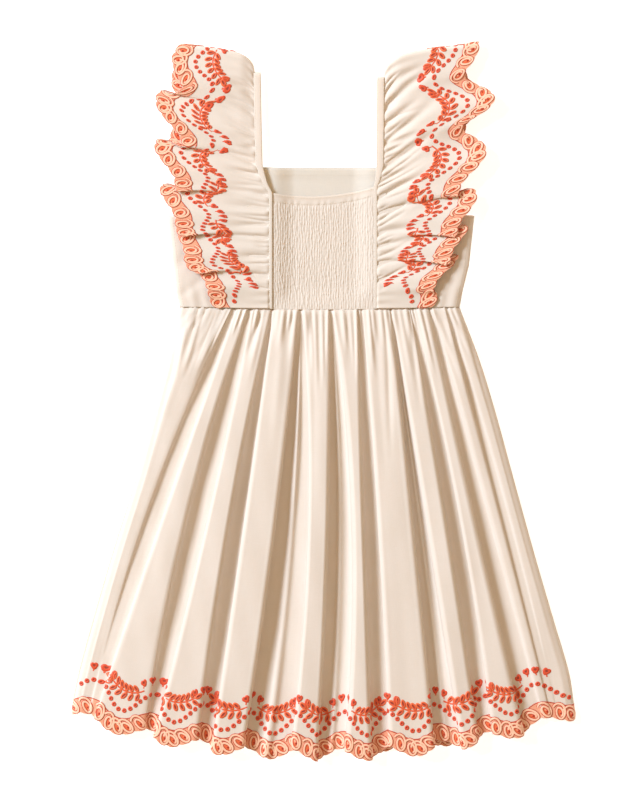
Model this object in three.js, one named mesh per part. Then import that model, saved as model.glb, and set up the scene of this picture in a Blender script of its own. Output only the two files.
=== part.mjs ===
// A girls' summer dress with an embroidered border, laid flat on its front with the back upwards.
// Millimetres. +Z is up from the surface that it lies on, +Y points to the shoulders, +X is to the right
// as it is looked down on. The origin lies on that surface under the middle of the outline.
import * as THREE from "three";

// The cloth and its seams
const wall = 1.2;
const seamGap = 0.3;
const half = wall / 2;

// The waist seam and the skirt. The hem line rises towards the side seams, as a spread skirt's does.
const waist = { y: 83, rise: 3, left: -132, right: 125 };
const hem = { y: -325, rise: 37, left: -232, right: 232 };
const midSkirt = 0.45; // the middle station's share of the way from the waist to the hem
const skirtSides = [
  { t: 0, left: waist.left, right: waist.right },
  { t: 0.13, left: -142, right: 143.5 },
  { t: 0.25, left: -154, right: 157.5 },
  { t: 0.43, left: -172.5, right: 176 },
  { t: 0.61, left: -193.5, right: 194.5 },
  { t: 0.79, left: -213, right: 214 },
  { t: 0.91, left: -225, right: 227 },
  { t: 1, left: hem.left, right: hem.right },
];

// The scalloped border: large scallops, each edged with small curls
const scallop = { pitch: 60, rise: 6.5, curlsEach: 6, curlRise: 1.8 };
const curlPitch = scallop.pitch / scallop.curlsEach;

// The levels of the cloth's middle surface over the floor
const level = {
  floor: half,
  frontAtWaist: 2.6,
  frontOverRuffle: 4.4,
  betweenPanels: 3.4,
  ridge: [6.7, 17, 15], // the back skirt's ridges at the waist, the middle and the hem
  valley: [4.9, 4.3, 4.3], // the bottoms of its folds
  sideZone: [6.2, 8, 7.5], // its flatter stretch beside each side seam
};

// The deep folds of the back skirt, from left to right. x: the fold's middle line, width: its opening,
// depth: its share of the ridges' height, each at the waist, the middle and the hem. lip: how far the
// ridges on its left and right hang over it (below 0: how far that side slopes in). bump: a low ridge inside.
const backFolds = [
  { x: [-82, -148, -214], width: [5, 15, 6], depth: [1, 1, 0.05], lip: [-5, 2], bump: 0 },
  { x: [-67, -112, -160], width: [4.6, 18, 9], depth: [1, 1, 0.75], lip: [-6, 3], bump: 0 },
  { x: [-47, -77, -109], width: [2.6, 12, 13], depth: [1, 1, 0.8], lip: [-3.5, 2], bump: 0 },
  { x: [-21, -28, -52], width: [4, 28, 43], depth: [1, 1, 0.95], lip: [4, 4], bump: 3 },
  { x: [7, 15, 7], width: [4.6, 21, 25], depth: [1, 1, 0.9], lip: [2, -7], bump: 2 },
  { x: [33.5, 43, 52.5], width: [5, 12, 16], depth: [1, 1, 0.9], lip: [-4, 3], bump: 0 },
  { x: [62, 86, 114], width: [2.6, 11, 24], depth: [1, 1, 0.85], lip: [4, -7], bump: 1 },
  { x: [81, 116, 149], width: [3.6, 12, 13], depth: [1, 1, 0.7], lip: [-4, 2], bump: 0 },
  { x: [98, 141, 193], width: [3.8, 13, 20], depth: [1, 0.9, 0.6], lip: [-4, -4], bump: 0 },
  { x: [113, 161, 213], width: [3, 8, 6], depth: [0.8, 0.6, 0.05], lip: [-2.5, -2.5], bump: 0 },
];
// The front skirt lies on the floor, and its fullness stands up inside as low pleats.
const frontFolds = [
  { x: [-100, -150, -196], width: [8, 13, 14] },
  { x: [-62, -96, -124], width: [8, 14, 15] },
  { x: [-30, -52, -70], width: [7, 12, 13] },
  { x: [2, -2, -12], width: [8, 14, 15] },
  { x: [34, 44, 52], width: [7, 12, 14] },
  { x: [64, 92, 120], width: [8, 13, 14] },
  { x: [98, 146, 190], width: [8, 13, 14] },
];
const frontPleat = { high: 1.7, top: 0.25, margin: 6 };
// Each panel's hem. shorter: by how much in the middle, skew: how much more at its right side,
// phase: where its scallops start, as a share of one.
const hems = {
  back: { shorter: 0, skew: 0, phase: 0.2 },
  front: { shorter: 6, skew: -4, phase: 0.217 },
};
// The fine gathers at the waist seam. fade and fadedBy: shares of the way down.
const gathers = {
  back: 34,
  front: 20,
  high: 0.9,
  atSeam: 0.6,
  growth: 30,
  fade: 0.026,
  fadedBy: 0.08,
  columnsEach: 3,
};
// The rows of each skirt panel, as shares of the way down
const skirtRows = {
  back: [0, 0.02, 0.045, 0.075, 0.12, 0.2, 0.33, 0.5, 0.7, 0.87, 0.95, 1],
  front: [0, 0.025, 0.06, 0.13, 0.35, 0.65, 0.93, 1],
};

// The bodice
const bodice = {
  side: [
    { y: 83, left: -132, right: 125 },
    { y: 101, left: -135.7, right: 128.3 },
    { y: 124, left: -138.5, right: 134 },
    { y: 170, left: -143.5, right: 139 },
  ],
  underarm: 170,
  frontNeck: 214.5,
  frontTop: { left: -61.5, right: 57 },
  backTop: { left: 190, right: 196 },
  seamShare: 0.6, // the side seam's share of the height up to the top edge
  rampFrom: 26, // between these distances from the middle line it rises over the front ruffles
  rampTo: 46,
  levelOff: 22, // the distance above the waist seam in which it takes its own level
};
// The elastic back panel: upright puckers below a plain top hem. bands: its rows down from the top.
const shirring = { halfWidth: 46, puckers: 45, high: 1, bands: [0, 0.06, 0.09, 0.5, 0.96, 1] };
const neckBack = { left: 190.5, middle: 188, right: 196 };

// The straps, from the back waist over the shoulder to the front neckline, by stations up the back
const straps = {
  left: [
    { y: 83.2, x: -47.9, width: 3.2 },
    { y: 190.6, x: -47.9, width: 3.2 },
    { y: 199, x: -51.8, width: 4.4 },
    { y: 216, x: -57, width: 6.2 },
    { y: 250, x: -57.8, width: 6.4 },
    { y: 299, x: -58.6, width: 6.4 },
  ],
  right: [
    { y: 83.2, x: 47.9, width: 3.2 },
    { y: 196.6, x: 47.9, width: 3.2 },
    { y: 203, x: 50, width: 4.6 },
    { y: 216, x: 52, width: 6.8 },
    { y: 250, x: 52.3, width: 7 },
    { y: 295, x: 52.6, width: 7 },
  ],
};
const strapWay = { rise: 0.75, step: 22, turns: 6, down: 7, level: 45 };
const shoulder = { back: 6.4, front: 1.4 }; // the strap's levels before and after its fold

// The ruffles. edge: the outer edge's run from the waist seam to the shoulder fold. phase and
// scallopPhase: where the flutes and the scallops start. shoulderRise: the fold's bow beyond a straight line.
const ruffles = {
  left: {
    side: -1,
    edge: [
      { x: -96, y: 84.6 },
      { x: -116, y: 106 },
      { x: -131, y: 138 },
      { x: -140, y: 178 },
      { x: -144, y: 224 },
      { x: -146, y: 270 },
      { x: -140, y: 306 },
      { x: -132, y: 324 },
    ],
    phase: 0.303,
    scallopPhase: 0.04,
    shoulderRise: 11,
  },
  right: {
    side: 1,
    edge: [
      { x: 98, y: 84.6 },
      { x: 113, y: 106 },
      { x: 125, y: 134 },
      { x: 135, y: 176 },
      { x: 142, y: 222 },
      { x: 148, y: 266 },
      { x: 145, y: 302 },
      { x: 138, y: 324 },
    ],
    phase: 0.545,
    scallopPhase: 0.27,
    shoulderRise: 13,
  },
};
const ruffle = {
  flutes: 5,
  fluteHigh: 6,
  fluteShift: 5,
  gathers: 12,
  gatherHigh: 0.5,
  overBack: 1.65, // over the back's level
  sag: 0.8, // beyond the bodice
  frontHigh: 2.1,
  frontInset: 5,
  seamBeyondStrap: 0.45,
  length: 300, // flat, from the waist to the shoulder
  fold: 0.02, // the shoulder fold's half, as a share of the whole length
  foldSteps: 4,
  rows: [0, 0.12, 0.34, 0.6, 0.84, 1], // from the seam to the outer edge
};
// The outline's middle along Y, which becomes the origin
const middleY = -2.17;

function clamp(x, low, high) {
  return Math.min(high, Math.max(low, x));
}

function smooth(from, to, x) {
  const t = clamp((x - from) / (to - from), 0, 1);
  return t * t * (3 - 2 * t);
}

function mix(a, b, t) {
  return a + (b - a) * t;
}

// A value given at the waist, the middle and the hem, at a share t of the way down
function along([a, b, c], t) {
  const m = midSkirt;
  return (
    (a * (t - m) * (t - 1)) / m + (b * t * (t - 1)) / (m * (m - 1)) + (c * t * (t - m)) / (1 - m)
  );
}

// A value from rows of a table, by a key column
function fromTable(rows, key, at, column) {
  const last = rows.length - 1;
  const rising = rows[last][key] > rows[0][key];
  let i = 0;
  while (i < last - 1 && (rising ? at > rows[i + 1][key] : at < rows[i + 1][key])) i++;
  const t = clamp((at - rows[i][key]) / (rows[i + 1][key] - rows[i][key]), 0, 1);
  return mix(rows[i][column], rows[i + 1][column], t);
}

// The same, with the rows joined by a smooth curve
function smoothTable(rows, key, at, column) {
  const last = rows.length - 1;
  let i = 0;
  while (i < last - 1 && at > rows[i + 1][key]) i++;
  const slope = (k) => {
    const [a, b] = [rows[Math.max(0, k - 1)], rows[Math.min(last, k + 1)]];
    return (b[column] - a[column]) / (b[key] - a[key]);
  };
  const gap = rows[i + 1][key] - rows[i][key];
  const rise = rows[i + 1][column] - rows[i][column];
  const t = clamp((at - rows[i][key]) / gap, 0, 1);
  const bend = gap * ((1 - t) * slope(i) - t * slope(i + 1)) - rise * (1 - 2 * t);
  return rows[i][column] + rise * t + t * (1 - t) * bend;
}

// Level of the front bodice: on the floor in the middle, and over the front ruffles at the sides
function frontLevel(x, y) {
  const out = smooth(bodice.rampFrom, bodice.rampTo, Math.abs(x));
  const up = smooth(waist.y, waist.y + bodice.levelOff, y);
  return mix(level.frontAtWaist, mix(level.floor, level.frontOverRuffle, out), up);
}

function backLevel(x, y) {
  return frontLevel(x, y) + level.betweenPanels;
}

function waistLine(x) {
  return waist.y + waist.rise * (x / waist.right) ** 2;
}

// Outward shift of a scalloped edge at a flat distance along it
function scallopEdge(distance, phase) {
  const turn = (2 * Math.PI * distance) / scallop.pitch + 2 * Math.PI * phase;
  const curl = Math.sqrt(Math.abs(Math.sin((Math.PI * distance) / curlPitch)));
  return scallop.rise * Math.cos(turn) + scallop.curlRise * curl;
}

// A smooth section through knots of x and z. at(u) gives the point and the outward normal, with u
// counting knots.
function section(knots) {
  const curve = new THREE.CatmullRomCurve3(
    knots.map(([x, z]) => new THREE.Vector3(x, 0, z)),
    false,
    "centripetal",
  );
  const spans = knots.length - 1;
  return {
    spans,
    at(u) {
      const step = 0.02;
      const p = curve.getPoint(clamp(u / spans, 0, 1));
      const a = curve.getPoint(clamp((u - step) / spans, 0, 1));
      const b = curve.getPoint(clamp((u + step) / spans, 0, 1));
      const length = Math.hypot(b.x - a.x, b.z - a.z);
      return { x: p.x, z: p.z, nx: -(b.z - a.z) / length, nz: (b.x - a.x) / length };
    },
  };
}

function skirtEdges(t) {
  return ["left", "right"].map((hand) => smoothTable(skirtSides, "t", t, hand));
}

// One fold of the back skirt at a share t of the way down: where each side's shoulder, edge and foot are
function foldAt(fold, t) {
  const x = along(fold.x, t);
  const w = Math.max(2.2, along(fold.width, t)) / 2;
  const depth = clamp(along(fold.depth, t), 0.04, 1);
  const open = smooth(0, 0.3, t) * Math.min(1, depth * 1.2);
  const ease = Math.min(4, 0.9 + w * 0.45);
  const [left, right] = fold.lip.map((lip, side) => {
    const way = side === 0 ? -1 : 1;
    const hang = Math.max(0, lip) * open;
    const slope = Math.max(0, -lip) * open;
    const foot = x + way * (Math.max(w - slope * 0.4, w * 0.55) + hang);
    const edge = x + way * (w + slope * 0.3);
    return { foot, edge, shoulder: edge + way * (ease + slope * 0.4) };
  });
  return { x, w, depth, bump: fold.bump * open, left, right };
}

// Shares out a narrow ridge between the folds on its two sides
function parted(right, left) {
  const middle = (right.edge + left.edge) / 2;
  const room = Math.max(0.5, left.edge - right.edge) * 0.2;
  right.shoulder = Math.min(right.shoulder, middle - room);
  left.shoulder = Math.max(left.shoulder, middle + room);
}

// The back skirt's section at a share t of the way down
function backSection(t) {
  const [left, right] = skirtEdges(t);
  const top = along(level.ridge, t);
  const low = along(level.sideZone, t);
  const seam = frontSkirtLevel(t) + half + seamGap;
  const zone = mix(6, 75, smooth(0, midSkirt, t));
  const ridge = (x) => mix(low, top, smooth(mix(2, 12, t), zone, Math.min(x - left, right - x)));
  const corner = smooth(0, 0.2, t);
  const sideKnots = (x, way) => [
    [x, seam],
    [x + way * 0.2, seam + 1.1],
    [x + way * mix(0.9, 1.6, corner), mix(seam, low, 0.62)],
    [x + way * mix(2.4, 6, corner), mix(seam, low, 0.92)],
  ];
  const folds = backFolds.map((fold) => foldAt(fold, t));
  for (let i = 1; i < folds.length; i++) parted(folds[i - 1].right, folds[i].left);
  const knots = sideKnots(left, 1);
  const end = sideKnots(right, -1).reverse();
  const [first, last] = [folds[0].left, folds[folds.length - 1].right];
  first.shoulder = Math.max(first.shoulder, knots[3][0] + 1.5);
  last.shoulder = Math.min(last.shoulder, end[0][0] - 1.5);
  const crown = (to) => {
    const from = knots[knots.length - 1][0];
    const x = (from + to) / 2;
    knots.push([x, ridge(x) + Math.min(1.4, 0.05 * (to - from)) * corner]);
  };
  for (const fold of folds) {
    const zLeft = ridge(fold.left.shoulder);
    const zRight = ridge(fold.right.shoulder);
    const zLow = mix((zLeft + zRight) / 2, along(level.valley, t), fold.depth);
    crown(fold.left.shoulder);
    knots.push(
      [fold.left.shoulder, zLeft],
      [fold.left.edge, mix(zLeft, zLow, 0.22)],
      [fold.left.foot, mix(zLeft, zLow, 0.78)],
      [fold.x - fold.w * 0.3, zLow],
      [fold.x, zLow + fold.bump],
      [fold.x + fold.w * 0.3, zLow],
      [fold.right.foot, mix(zRight, zLow, 0.78)],
      [fold.right.edge, mix(zRight, zLow, 0.22)],
      [fold.right.shoulder, zRight],
    );
  }
  crown(end[0][0]);
  return section([...knots, ...end]);
}

function frontSkirtLevel(t) {
  return level.floor + (level.frontAtWaist - level.floor) * Math.exp(-t / 0.03);
}

// The front skirt's section: flat on the floor between low pleats
function frontSection(t) {
  const z = frontSkirtLevel(t);
  const [left, right] = skirtEdges(t);
  const high = frontPleat.high * smooth(0.02, 0.25, t);
  const knots = [
    [left, z],
    [left + frontPleat.margin, z],
  ];
  for (const fold of frontFolds) {
    const x = along(fold.x, t);
    const w = along(fold.width, t) / 2;
    knots.push(
      [x - w, z],
      [x - w * frontPleat.top, z + high * 0.8],
      [x, z + high],
      [x + w * frontPleat.top, z + high * 0.8],
      [x + w, z],
    );
  }
  return section([...knots, [right - frontPleat.margin, z], [right, z]]);
}

// Flat distances along a section, as a table by u
function lengths(made) {
  const per = 6;
  const rows = [{ u: 0, s: 0 }];
  let last = made.at(0);
  for (let i = 1; i <= made.spans * per; i++) {
    const p = made.at(i / per);
    rows.push({ u: i / per, s: rows[i - 1].s + Math.hypot(p.x - last.x, p.z - last.z) });
    last = p;
  }
  return rows;
}

// The height of the waist gathers at a share t of the way down, at a place x on the waist seam
function gatherWave(x, t, count) {
  const across = (x - waist.left) / (waist.right - waist.left);
  const ends = smooth(0, 6, Math.min(x - waist.left, waist.right - x));
  const swell = (gathers.atSeam + gathers.growth * t) * Math.exp(-t / gathers.fade);
  return gathers.high * swell * ends * Math.cos(2 * Math.PI * count * across);
}

// A skirt panel. sectionAt(t) is its section at a share t of the way down.
function skirtPanel(sectionAt, side) {
  const { shorter, skew, phase } = hems[side];
  const top = sectionAt(0);
  const bottom = sectionAt(1);
  const flat = lengths(bottom);
  const place = (u, t) => {
    const { x, z, nx, nz } = sectionAt(t).at(u);
    const start = top.at(u).x;
    const out = bottom.at(u).x / hem.right;
    const edge = hem.y + hem.rise * out ** 2 + shorter + skew * out;
    const fall = scallopEdge(fromTable(flat, "u", u, "s"), phase);
    const y = mix(waistLine(start) - seamGap / 2, edge, t) - fall * t ** 8;
    const lift = Math.max(z + gatherWave(start, t, gathers[side]), level.floor);
    return {
      u,
      outer: [x + nx * half, y, lift + nz * half],
      inner: [x - nx * half, y, lift - nz * half],
    };
  };
  const fine = waistColumns(top, gathers[side] * gathers.columnsEach);
  const knots = Array.from({ length: bottom.spans + 1 }, (_, i) => i);
  const edge = curlColumns(flat);
  return skirtRows[side].map((t) => {
    const columns = t < gathers.fadedBy ? fine : t === 1 ? edge : knots;
    return columns.map((u) => place(u, t));
  });
}

// Columns that stand evenly along the waist seam
function waistColumns(top, count) {
  const [first, last] = [top.at(0).x, top.at(top.spans).x];
  const columnAt = (x) => {
    let [low, high] = [0, top.spans];
    for (let tries = 0; tries < 40; tries++) {
      const middle = (low + high) / 2;
      if (top.at(middle).x < x) low = middle;
      else high = middle;
    }
    return low;
  };
  const inside = Array.from({ length: count - 1 }, (_, i) => columnAt(mix(first, last, (i + 1) / count)));
  return [0, ...inside, top.spans];
}

// Columns at each curl's cusp and on each side of its crown, along a flat edge
function curlColumns(flat) {
  const { u, s } = flat[flat.length - 1];
  const columns = [0];
  for (let at = curlPitch / 3; at < s - 1; at += curlPitch / 3) columns.push(fromTable(flat, "s", at, "u"));
  return [...columns, u];
}

// The two faces between two rows of numbered points, which may have different numbers of points
function stitch(a, b, face) {
  let [i, j] = [0, 0];
  while (i < a.length - 1 || j < b.length - 1) {
    const nextA = i < a.length - 1 ? a[i + 1].u : Infinity;
    const nextB = j < b.length - 1 ? b[j + 1].u : Infinity;
    const next = nextA <= nextB ? a[i + 1] : b[j + 1];
    face(a[i].outer, b[j].outer, next.outer);
    face(a[i].inner, next.inner, b[j].inner);
    if (nextA <= nextB) i++;
    else j++;
  }
}

// The wall's thickness along one edge, with p before q
function closeEdge(p, q, face) {
  face(p.outer, q.outer, q.inner);
  face(p.outer, q.inner, p.inner);
}

// A closed wall from rows of outer and inner points
function wallFrom(rows) {
  const points = [];
  const faces = [];
  const face = (a, b, c) => faces.push(a, b, c);
  const numbered = rows.map((row) =>
    row.map(({ u, outer, inner }) => {
      points.push(...outer, ...inner);
      const count = points.length / 3;
      return { u, outer: count - 2, inner: count - 1 };
    }),
  );
  const ends = numbered.map((row) => [row[0], row[row.length - 1]]);
  for (let r = 0; r < rows.length - 1; r++) {
    stitch(numbered[r], numbered[r + 1], face);
    closeEdge(ends[r + 1][0], ends[r][0], face);
    closeEdge(ends[r][1], ends[r + 1][1], face);
  }
  const [firstRow, lastRow] = [numbered[0], numbered[rows.length - 1]];
  for (let i = 0; i < firstRow.length - 1; i++) closeEdge(firstRow[i], firstRow[i + 1], face);
  for (let i = 0; i < lastRow.length - 1; i++) closeEdge(lastRow[i + 1], lastRow[i], face);
  return new THREE.BufferGeometry()
    .setAttribute("position", new THREE.Float32BufferAttribute(points, 3))
    .setIndex(faces);
}

// A level panel with its rows running down from the top. raise(i, j) lifts its outer face.
function levelWall(columns, rowCount, place, raise = () => 0) {
  return Array.from({ length: rowCount + 1 }, (_, j) =>
    Array.from({ length: columns + 1 }, (_, i) => {
      const [x, y, z] = place(i / columns, j / rowCount);
      return { u: i, outer: [x, y, z + half + raise(i, j)], inner: [x, y, z - half] };
    }),
  );
}

// A panel's side edge at a share q of its height: up the side seam and then round the armhole
function panelEdge(q, hand, topX, topY) {
  const { seamShare, underarm, side } = bodice;
  const y = mix(waist.y, underarm, Math.min(1, q / seamShare));
  const x = fromTable(side, "y", y, hand);
  if (q <= seamShare) return [x, y];
  const turn = (Math.PI / 2) * ((q - seamShare) / (1 - seamShare));
  return [mix(x, topX, Math.sin(turn)), mix(topY, underarm, Math.cos(turn))];
}

// How far a panel's lowest row stands above the waist line's lowest point
function overWaist(x, q) {
  return q === 0 ? waistLine(x) + seamGap / 2 - waist.y : 0;
}

function frontBodice() {
  const { frontTop, frontNeck } = bodice;
  return levelWall(12, 10, (a, b) => {
    const q = 1 - b;
    const [left, yLeft] = panelEdge(q, "left", frontTop.left, frontNeck);
    const [right, yRight] = panelEdge(q, "right", frontTop.right, frontNeck);
    const x = mix(left, right, a);
    const y = mix(yLeft, yRight, a) + overWaist(x, q);
    return [x, y, frontLevel(x, y)];
  });
}

// A side back panel, from the side seam to the strap. Its side seam comes down to the front panel.
function sideBack(hand) {
  const way = hand === "left" ? -1 : 1;
  const inner = way * (shirring.halfWidth + 4);
  const top = bodice.backTop[hand];
  const drop = level.betweenPanels - wall - seamGap;
  return levelWall(8, 8, (a, b) => {
    const q = 1 - b;
    const [outerX, outerY] = panelEdge(q, hand, inner + way * 6, top - 1);
    const share = hand === "left" ? a : 1 - a;
    const x = mix(outerX, inner, share);
    const y = mix(outerY, mix(waist.y, top, q), share) + overWaist(x, q);
    const nearSeam = clamp(1 - Math.abs(x - outerX) / 6, 0, 1) ** 2;
    const sewn = 1 - smooth(bodice.seamShare, bodice.seamShare + 0.15, q);
    return [x, y, backLevel(x, y) - drop * nearSeam * sewn];
  });
}

// The back neckline, a parabola through its three heights
function neckline(x) {
  const { left, middle, right } = neckBack;
  const share = x / shirring.halfWidth;
  return middle + ((right - left) / 2) * share + ((right + left) / 2 - middle) * share ** 2;
}

// The shirred back panel: upright puckers raised on a plain inside
function shirredBack() {
  const { bands, high, puckers, halfWidth } = shirring;
  const last = bands.length - 1;
  const columns = puckers * 2;
  const edge = halfWidth - seamGap / 2;
  const place = (a, b) => {
    const x = mix(-edge, edge, a);
    const y = mix(neckline(x), waistLine(x) + seamGap / 2, bands[Math.round(b * last)]);
    return [x, y, backLevel(x, y)];
  };
  const swell = (j) => (j < 2 ? 0.15 : j === last ? 0.6 : 1);
  return levelWall(columns, last, place, (i, j) => high * swell(j) * (i % 2));
}

// A strap's middle line: up the back, over the shoulder, and down to the front neckline
function strapPath(stations) {
  const top = stations[stations.length - 1];
  const xAt = (y) => fromTable(stations, "y", y, "x");
  const start = waistLine(stations[0].x) + seamGap / 2;
  const neck = bodice.frontNeck + seamGap;
  const path = [];
  const addBack = (y) => {
    const onBack = backLevel(xAt(y), Math.min(y, neckBack.right)) + strapWay.rise;
    path.push([xAt(y), y, mix(onBack, shoulder.back, smooth(neckBack.right, top.y, y))]);
  };
  addBack(start);
  for (let k = 1; k < stations.length; k++) {
    const from = Math.max(start, stations[k - 1].y);
    const parts = Math.ceil((stations[k].y - from) / strapWay.step);
    for (let i = 1; i <= parts; i++) addBack(mix(from, stations[k].y, i / parts));
  }
  const middle = (shoulder.back + shoulder.front) / 2;
  const radius = (shoulder.back - shoulder.front) / 2;
  for (let i = 1; i < strapWay.turns; i++) {
    const turn = (Math.PI * i) / strapWay.turns;
    path.push([top.x, top.y + radius * Math.sin(turn), middle + radius * Math.cos(turn)]);
  }
  for (let i = 0; i <= strapWay.down; i++) {
    const y = mix(top.y, neck, i / strapWay.down);
    const away = smooth(neck, neck + strapWay.level, y);
    path.push([xAt(y), y, mix(frontLevel(xAt(y), neck), shoulder.front, away)]);
  }
  return path;
}

function strap(hand) {
  const stations = straps[hand];
  const path = strapPath(stations).map((p) => new THREE.Vector3(...p));
  const rows = path.map((p, i) => {
    const ahead = path[Math.min(path.length - 1, i + 1)].clone().sub(path[Math.max(0, i - 1)]);
    const out = new THREE.Vector3(1, 0, 0).cross(ahead).setLength(half);
    const w = fromTable(stations, "y", p.y, "width") / 2;
    return [-1, 0, 1].map((side) => {
      const on = p.clone().add(new THREE.Vector3(side * w, 0, 0));
      return { u: side, outer: on.clone().add(out).toArray(), inner: on.sub(out).toArray() };
    });
  });
  return rows.reverse();
}

// A ruffle's seam line beside its strap, at a share q of the way up
function ruffleSeam(hand, q) {
  const stations = straps[hand];
  const start = waistLine(stations[0].x) + seamGap + half;
  const y = mix(start, stations[stations.length - 1].y, q);
  const out = fromTable(stations, "y", y, "width") / 2 + ruffle.seamBeyondStrap;
  return { x: fromTable(stations, "y", y, "x") + ruffles[hand].side * out, y };
}

// A ruffle's outer edge before its scallops, at a share q of the way up, with its direction
function ruffleEdge(hand, q) {
  const points = ruffles[hand].edge.map(({ x, y }) => new THREE.Vector3(x, y, 0));
  const curve = new THREE.CatmullRomCurve3(points, false, "centripetal");
  return { at: curve.getPointAt(q), ahead: curve.getTangentAt(q) };
}

// The level that the back half of a ruffle lies over
function underRuffle(seam, y, w) {
  const free = smooth(neckBack.right, neckBack.right + 100, seam.y);
  const onStrap = backLevel(seam.x, Math.min(seam.y, neckBack.right));
  const onSide = backLevel(bodice.rampTo, y);
  return mix(mix(onStrap, shoulder.back - 1, free), onSide, smooth(0, 0.2, w));
}

// One point of a ruffle. s runs from the back waist over the shoulder to the front waist, w outwards.
function ruffleAt(hand, s, w) {
  const { side, phase, scallopPhase, shoulderRise } = ruffles[hand];
  const onBack = s < 0.5;
  const q = clamp((onBack ? s : 1 - s) / (0.5 - ruffle.fold), 0, 1);
  const seam = ruffleSeam(hand, q);
  const { at, ahead } = ruffleEdge(hand, q);
  const free = smooth(0, 0.14, q) * (1 - smooth(0.88, 1, q));
  const turn = 2 * Math.PI * (ruffle.flutes * q + phase);
  const shift = onBack ? ruffle.fluteShift * w ** 1.6 * free * Math.sin(turn) : 0;
  const inset = onBack ? 0 : ruffle.frontInset * w * smooth(0, 0.2, q);
  const out = scallopEdge(ruffle.length * 2 * s, scallopPhase) * w ** 6 - inset;
  const bow = shoulderRise * Math.sin(Math.PI * w ** 0.45) * smooth(0.7, 1, q);
  const downwards = -0.4 * Math.abs(ahead.x) * (1 - smooth(0.75, 1, q));
  const x = mix(seam.x, at.x, w) + side * Math.abs(ahead.y) * out + ahead.x * shift;
  const y = mix(seam.y, at.y, w) + downwards * out + ahead.y * shift + bow;
  const gather = ruffle.gatherHigh * (1 + Math.cos(2 * Math.PI * ruffle.gathers * q) * (1 - w) ** 2);
  const flute = (0.5 + 0.5 * Math.cos(turn)) * free;
  const sag = ruffle.sag * smooth(neckBack.middle, neckBack.middle + 110, y);
  const stand = ruffle.overBack + gather + ruffle.fluteHigh * w ** 1.3 * flute - sag;
  const back = underRuffle(seam, y, w) + stand;
  const front = level.floor + gather / 2 + ruffle.frontHigh * smooth(0, 0.5, w) * flute;
  if (q < 1) return [x, y, onBack ? back : front];
  const round = (Math.PI * (s - 0.5 + ruffle.fold)) / (2 * ruffle.fold);
  const radius = (back - front) / 2;
  return [x, y + radius * Math.sin(round), front + radius * (1 + Math.cos(round))];
}

function ruffleNormal(hand, s, w) {
  const [stepS, stepW] = [0.003, 0.03];
  const at = (a, b) => new THREE.Vector3(...ruffleAt(hand, clamp(a, 0, 1), clamp(b, 0, 1)));
  const run = at(s + stepS, w).sub(at(s - stepS, w));
  const normal = at(s, w + stepW).sub(at(s, w - stepW)).cross(run);
  if (w === 0) normal.x = 0;
  return normal.setLength(half).toArray();
}

function ruffleWall(hand) {
  const { fold, foldSteps } = ruffle;
  const steps = ruffle.gathers * 3;
  const up = Array.from({ length: steps + 1 }, (_, i) => mix(0, 0.5 - fold, i / steps));
  const over = Array.from({ length: foldSteps - 1 }, (_, i) =>
    mix(0.5 - fold, 0.5 + fold, (i + 1) / foldSteps),
  );
  const body = [...up, ...over, ...up.map((s) => 1 - s).reverse()];
  const curlShare = curlPitch / 3 / (2 * ruffle.length);
  const edge = Array.from({ length: Math.ceil(1 / curlShare) }, (_, i) => i * curlShare);
  const place = (s, w) => {
    const p = ruffleAt(hand, s, w);
    const n = ruffleNormal(hand, s, w);
    const moved = (way) => {
      const [x, y, z] = p.map((value, k) => value + way * n[k]);
      return [x, Math.max(y, waistLine(x) + seamGap / 2), Math.max(z, 0)];
    };
    return { u: s, outer: moved(1), inner: moved(-1) };
  };
  return ruffle.rows.map((w) => (w === 1 ? [...edge, 1] : body).map((s) => place(s, w)));
}

// One cotton throughout
const cotton = { color: 0xefe6d6, roughness: 0.9, metalness: 0 };
const dress = new THREE.Group();

function addPiece(name, rows) {
  const mesh = new THREE.Mesh(wallFrom(rows), new THREE.MeshStandardMaterial(cotton));
  mesh.geometry.translate(0, -middleY, 0);
  mesh.name = name;
  dress.add(mesh);
}

addPiece("skirt_back", skirtPanel(backSection, "back"));
addPiece("skirt_front", skirtPanel(frontSection, "front"));
addPiece("bodice_front", frontBodice());
addPiece("bodice_back_shirred", shirredBack());
addPiece("bodice_side_back_left", sideBack("left"));
addPiece("bodice_side_back_right", sideBack("right"));
addPiece("strap_left", strap("left"));
addPiece("strap_right", strap("right"));
addPiece("ruffle_left", ruffleWall("left"));
addPiece("ruffle_right", ruffleWall("right"));

export default dress;
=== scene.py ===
# A girls' cream cotton summer dress laid flat on its front, seen from straight above with its back upwards.
# All sizes in the dictionaries are millimetres on the table: X to the right, Y towards the shoulders, Z up.
import math

import bpy
import numpy as np
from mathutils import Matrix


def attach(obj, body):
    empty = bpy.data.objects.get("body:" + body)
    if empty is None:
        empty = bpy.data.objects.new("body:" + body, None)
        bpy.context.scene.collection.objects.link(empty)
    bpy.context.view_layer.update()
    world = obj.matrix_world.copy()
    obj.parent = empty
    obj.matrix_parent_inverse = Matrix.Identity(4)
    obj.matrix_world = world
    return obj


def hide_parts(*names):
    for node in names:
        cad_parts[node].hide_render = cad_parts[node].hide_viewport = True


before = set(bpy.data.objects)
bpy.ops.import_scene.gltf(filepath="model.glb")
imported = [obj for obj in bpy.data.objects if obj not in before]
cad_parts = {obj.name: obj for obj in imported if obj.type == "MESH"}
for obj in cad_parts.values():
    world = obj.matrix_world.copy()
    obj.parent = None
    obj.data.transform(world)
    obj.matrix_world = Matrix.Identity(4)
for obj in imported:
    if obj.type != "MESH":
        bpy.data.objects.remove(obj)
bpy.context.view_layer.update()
bpy.ops.object.select_all(action="DESELECT")
print("frame loaded")

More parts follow.
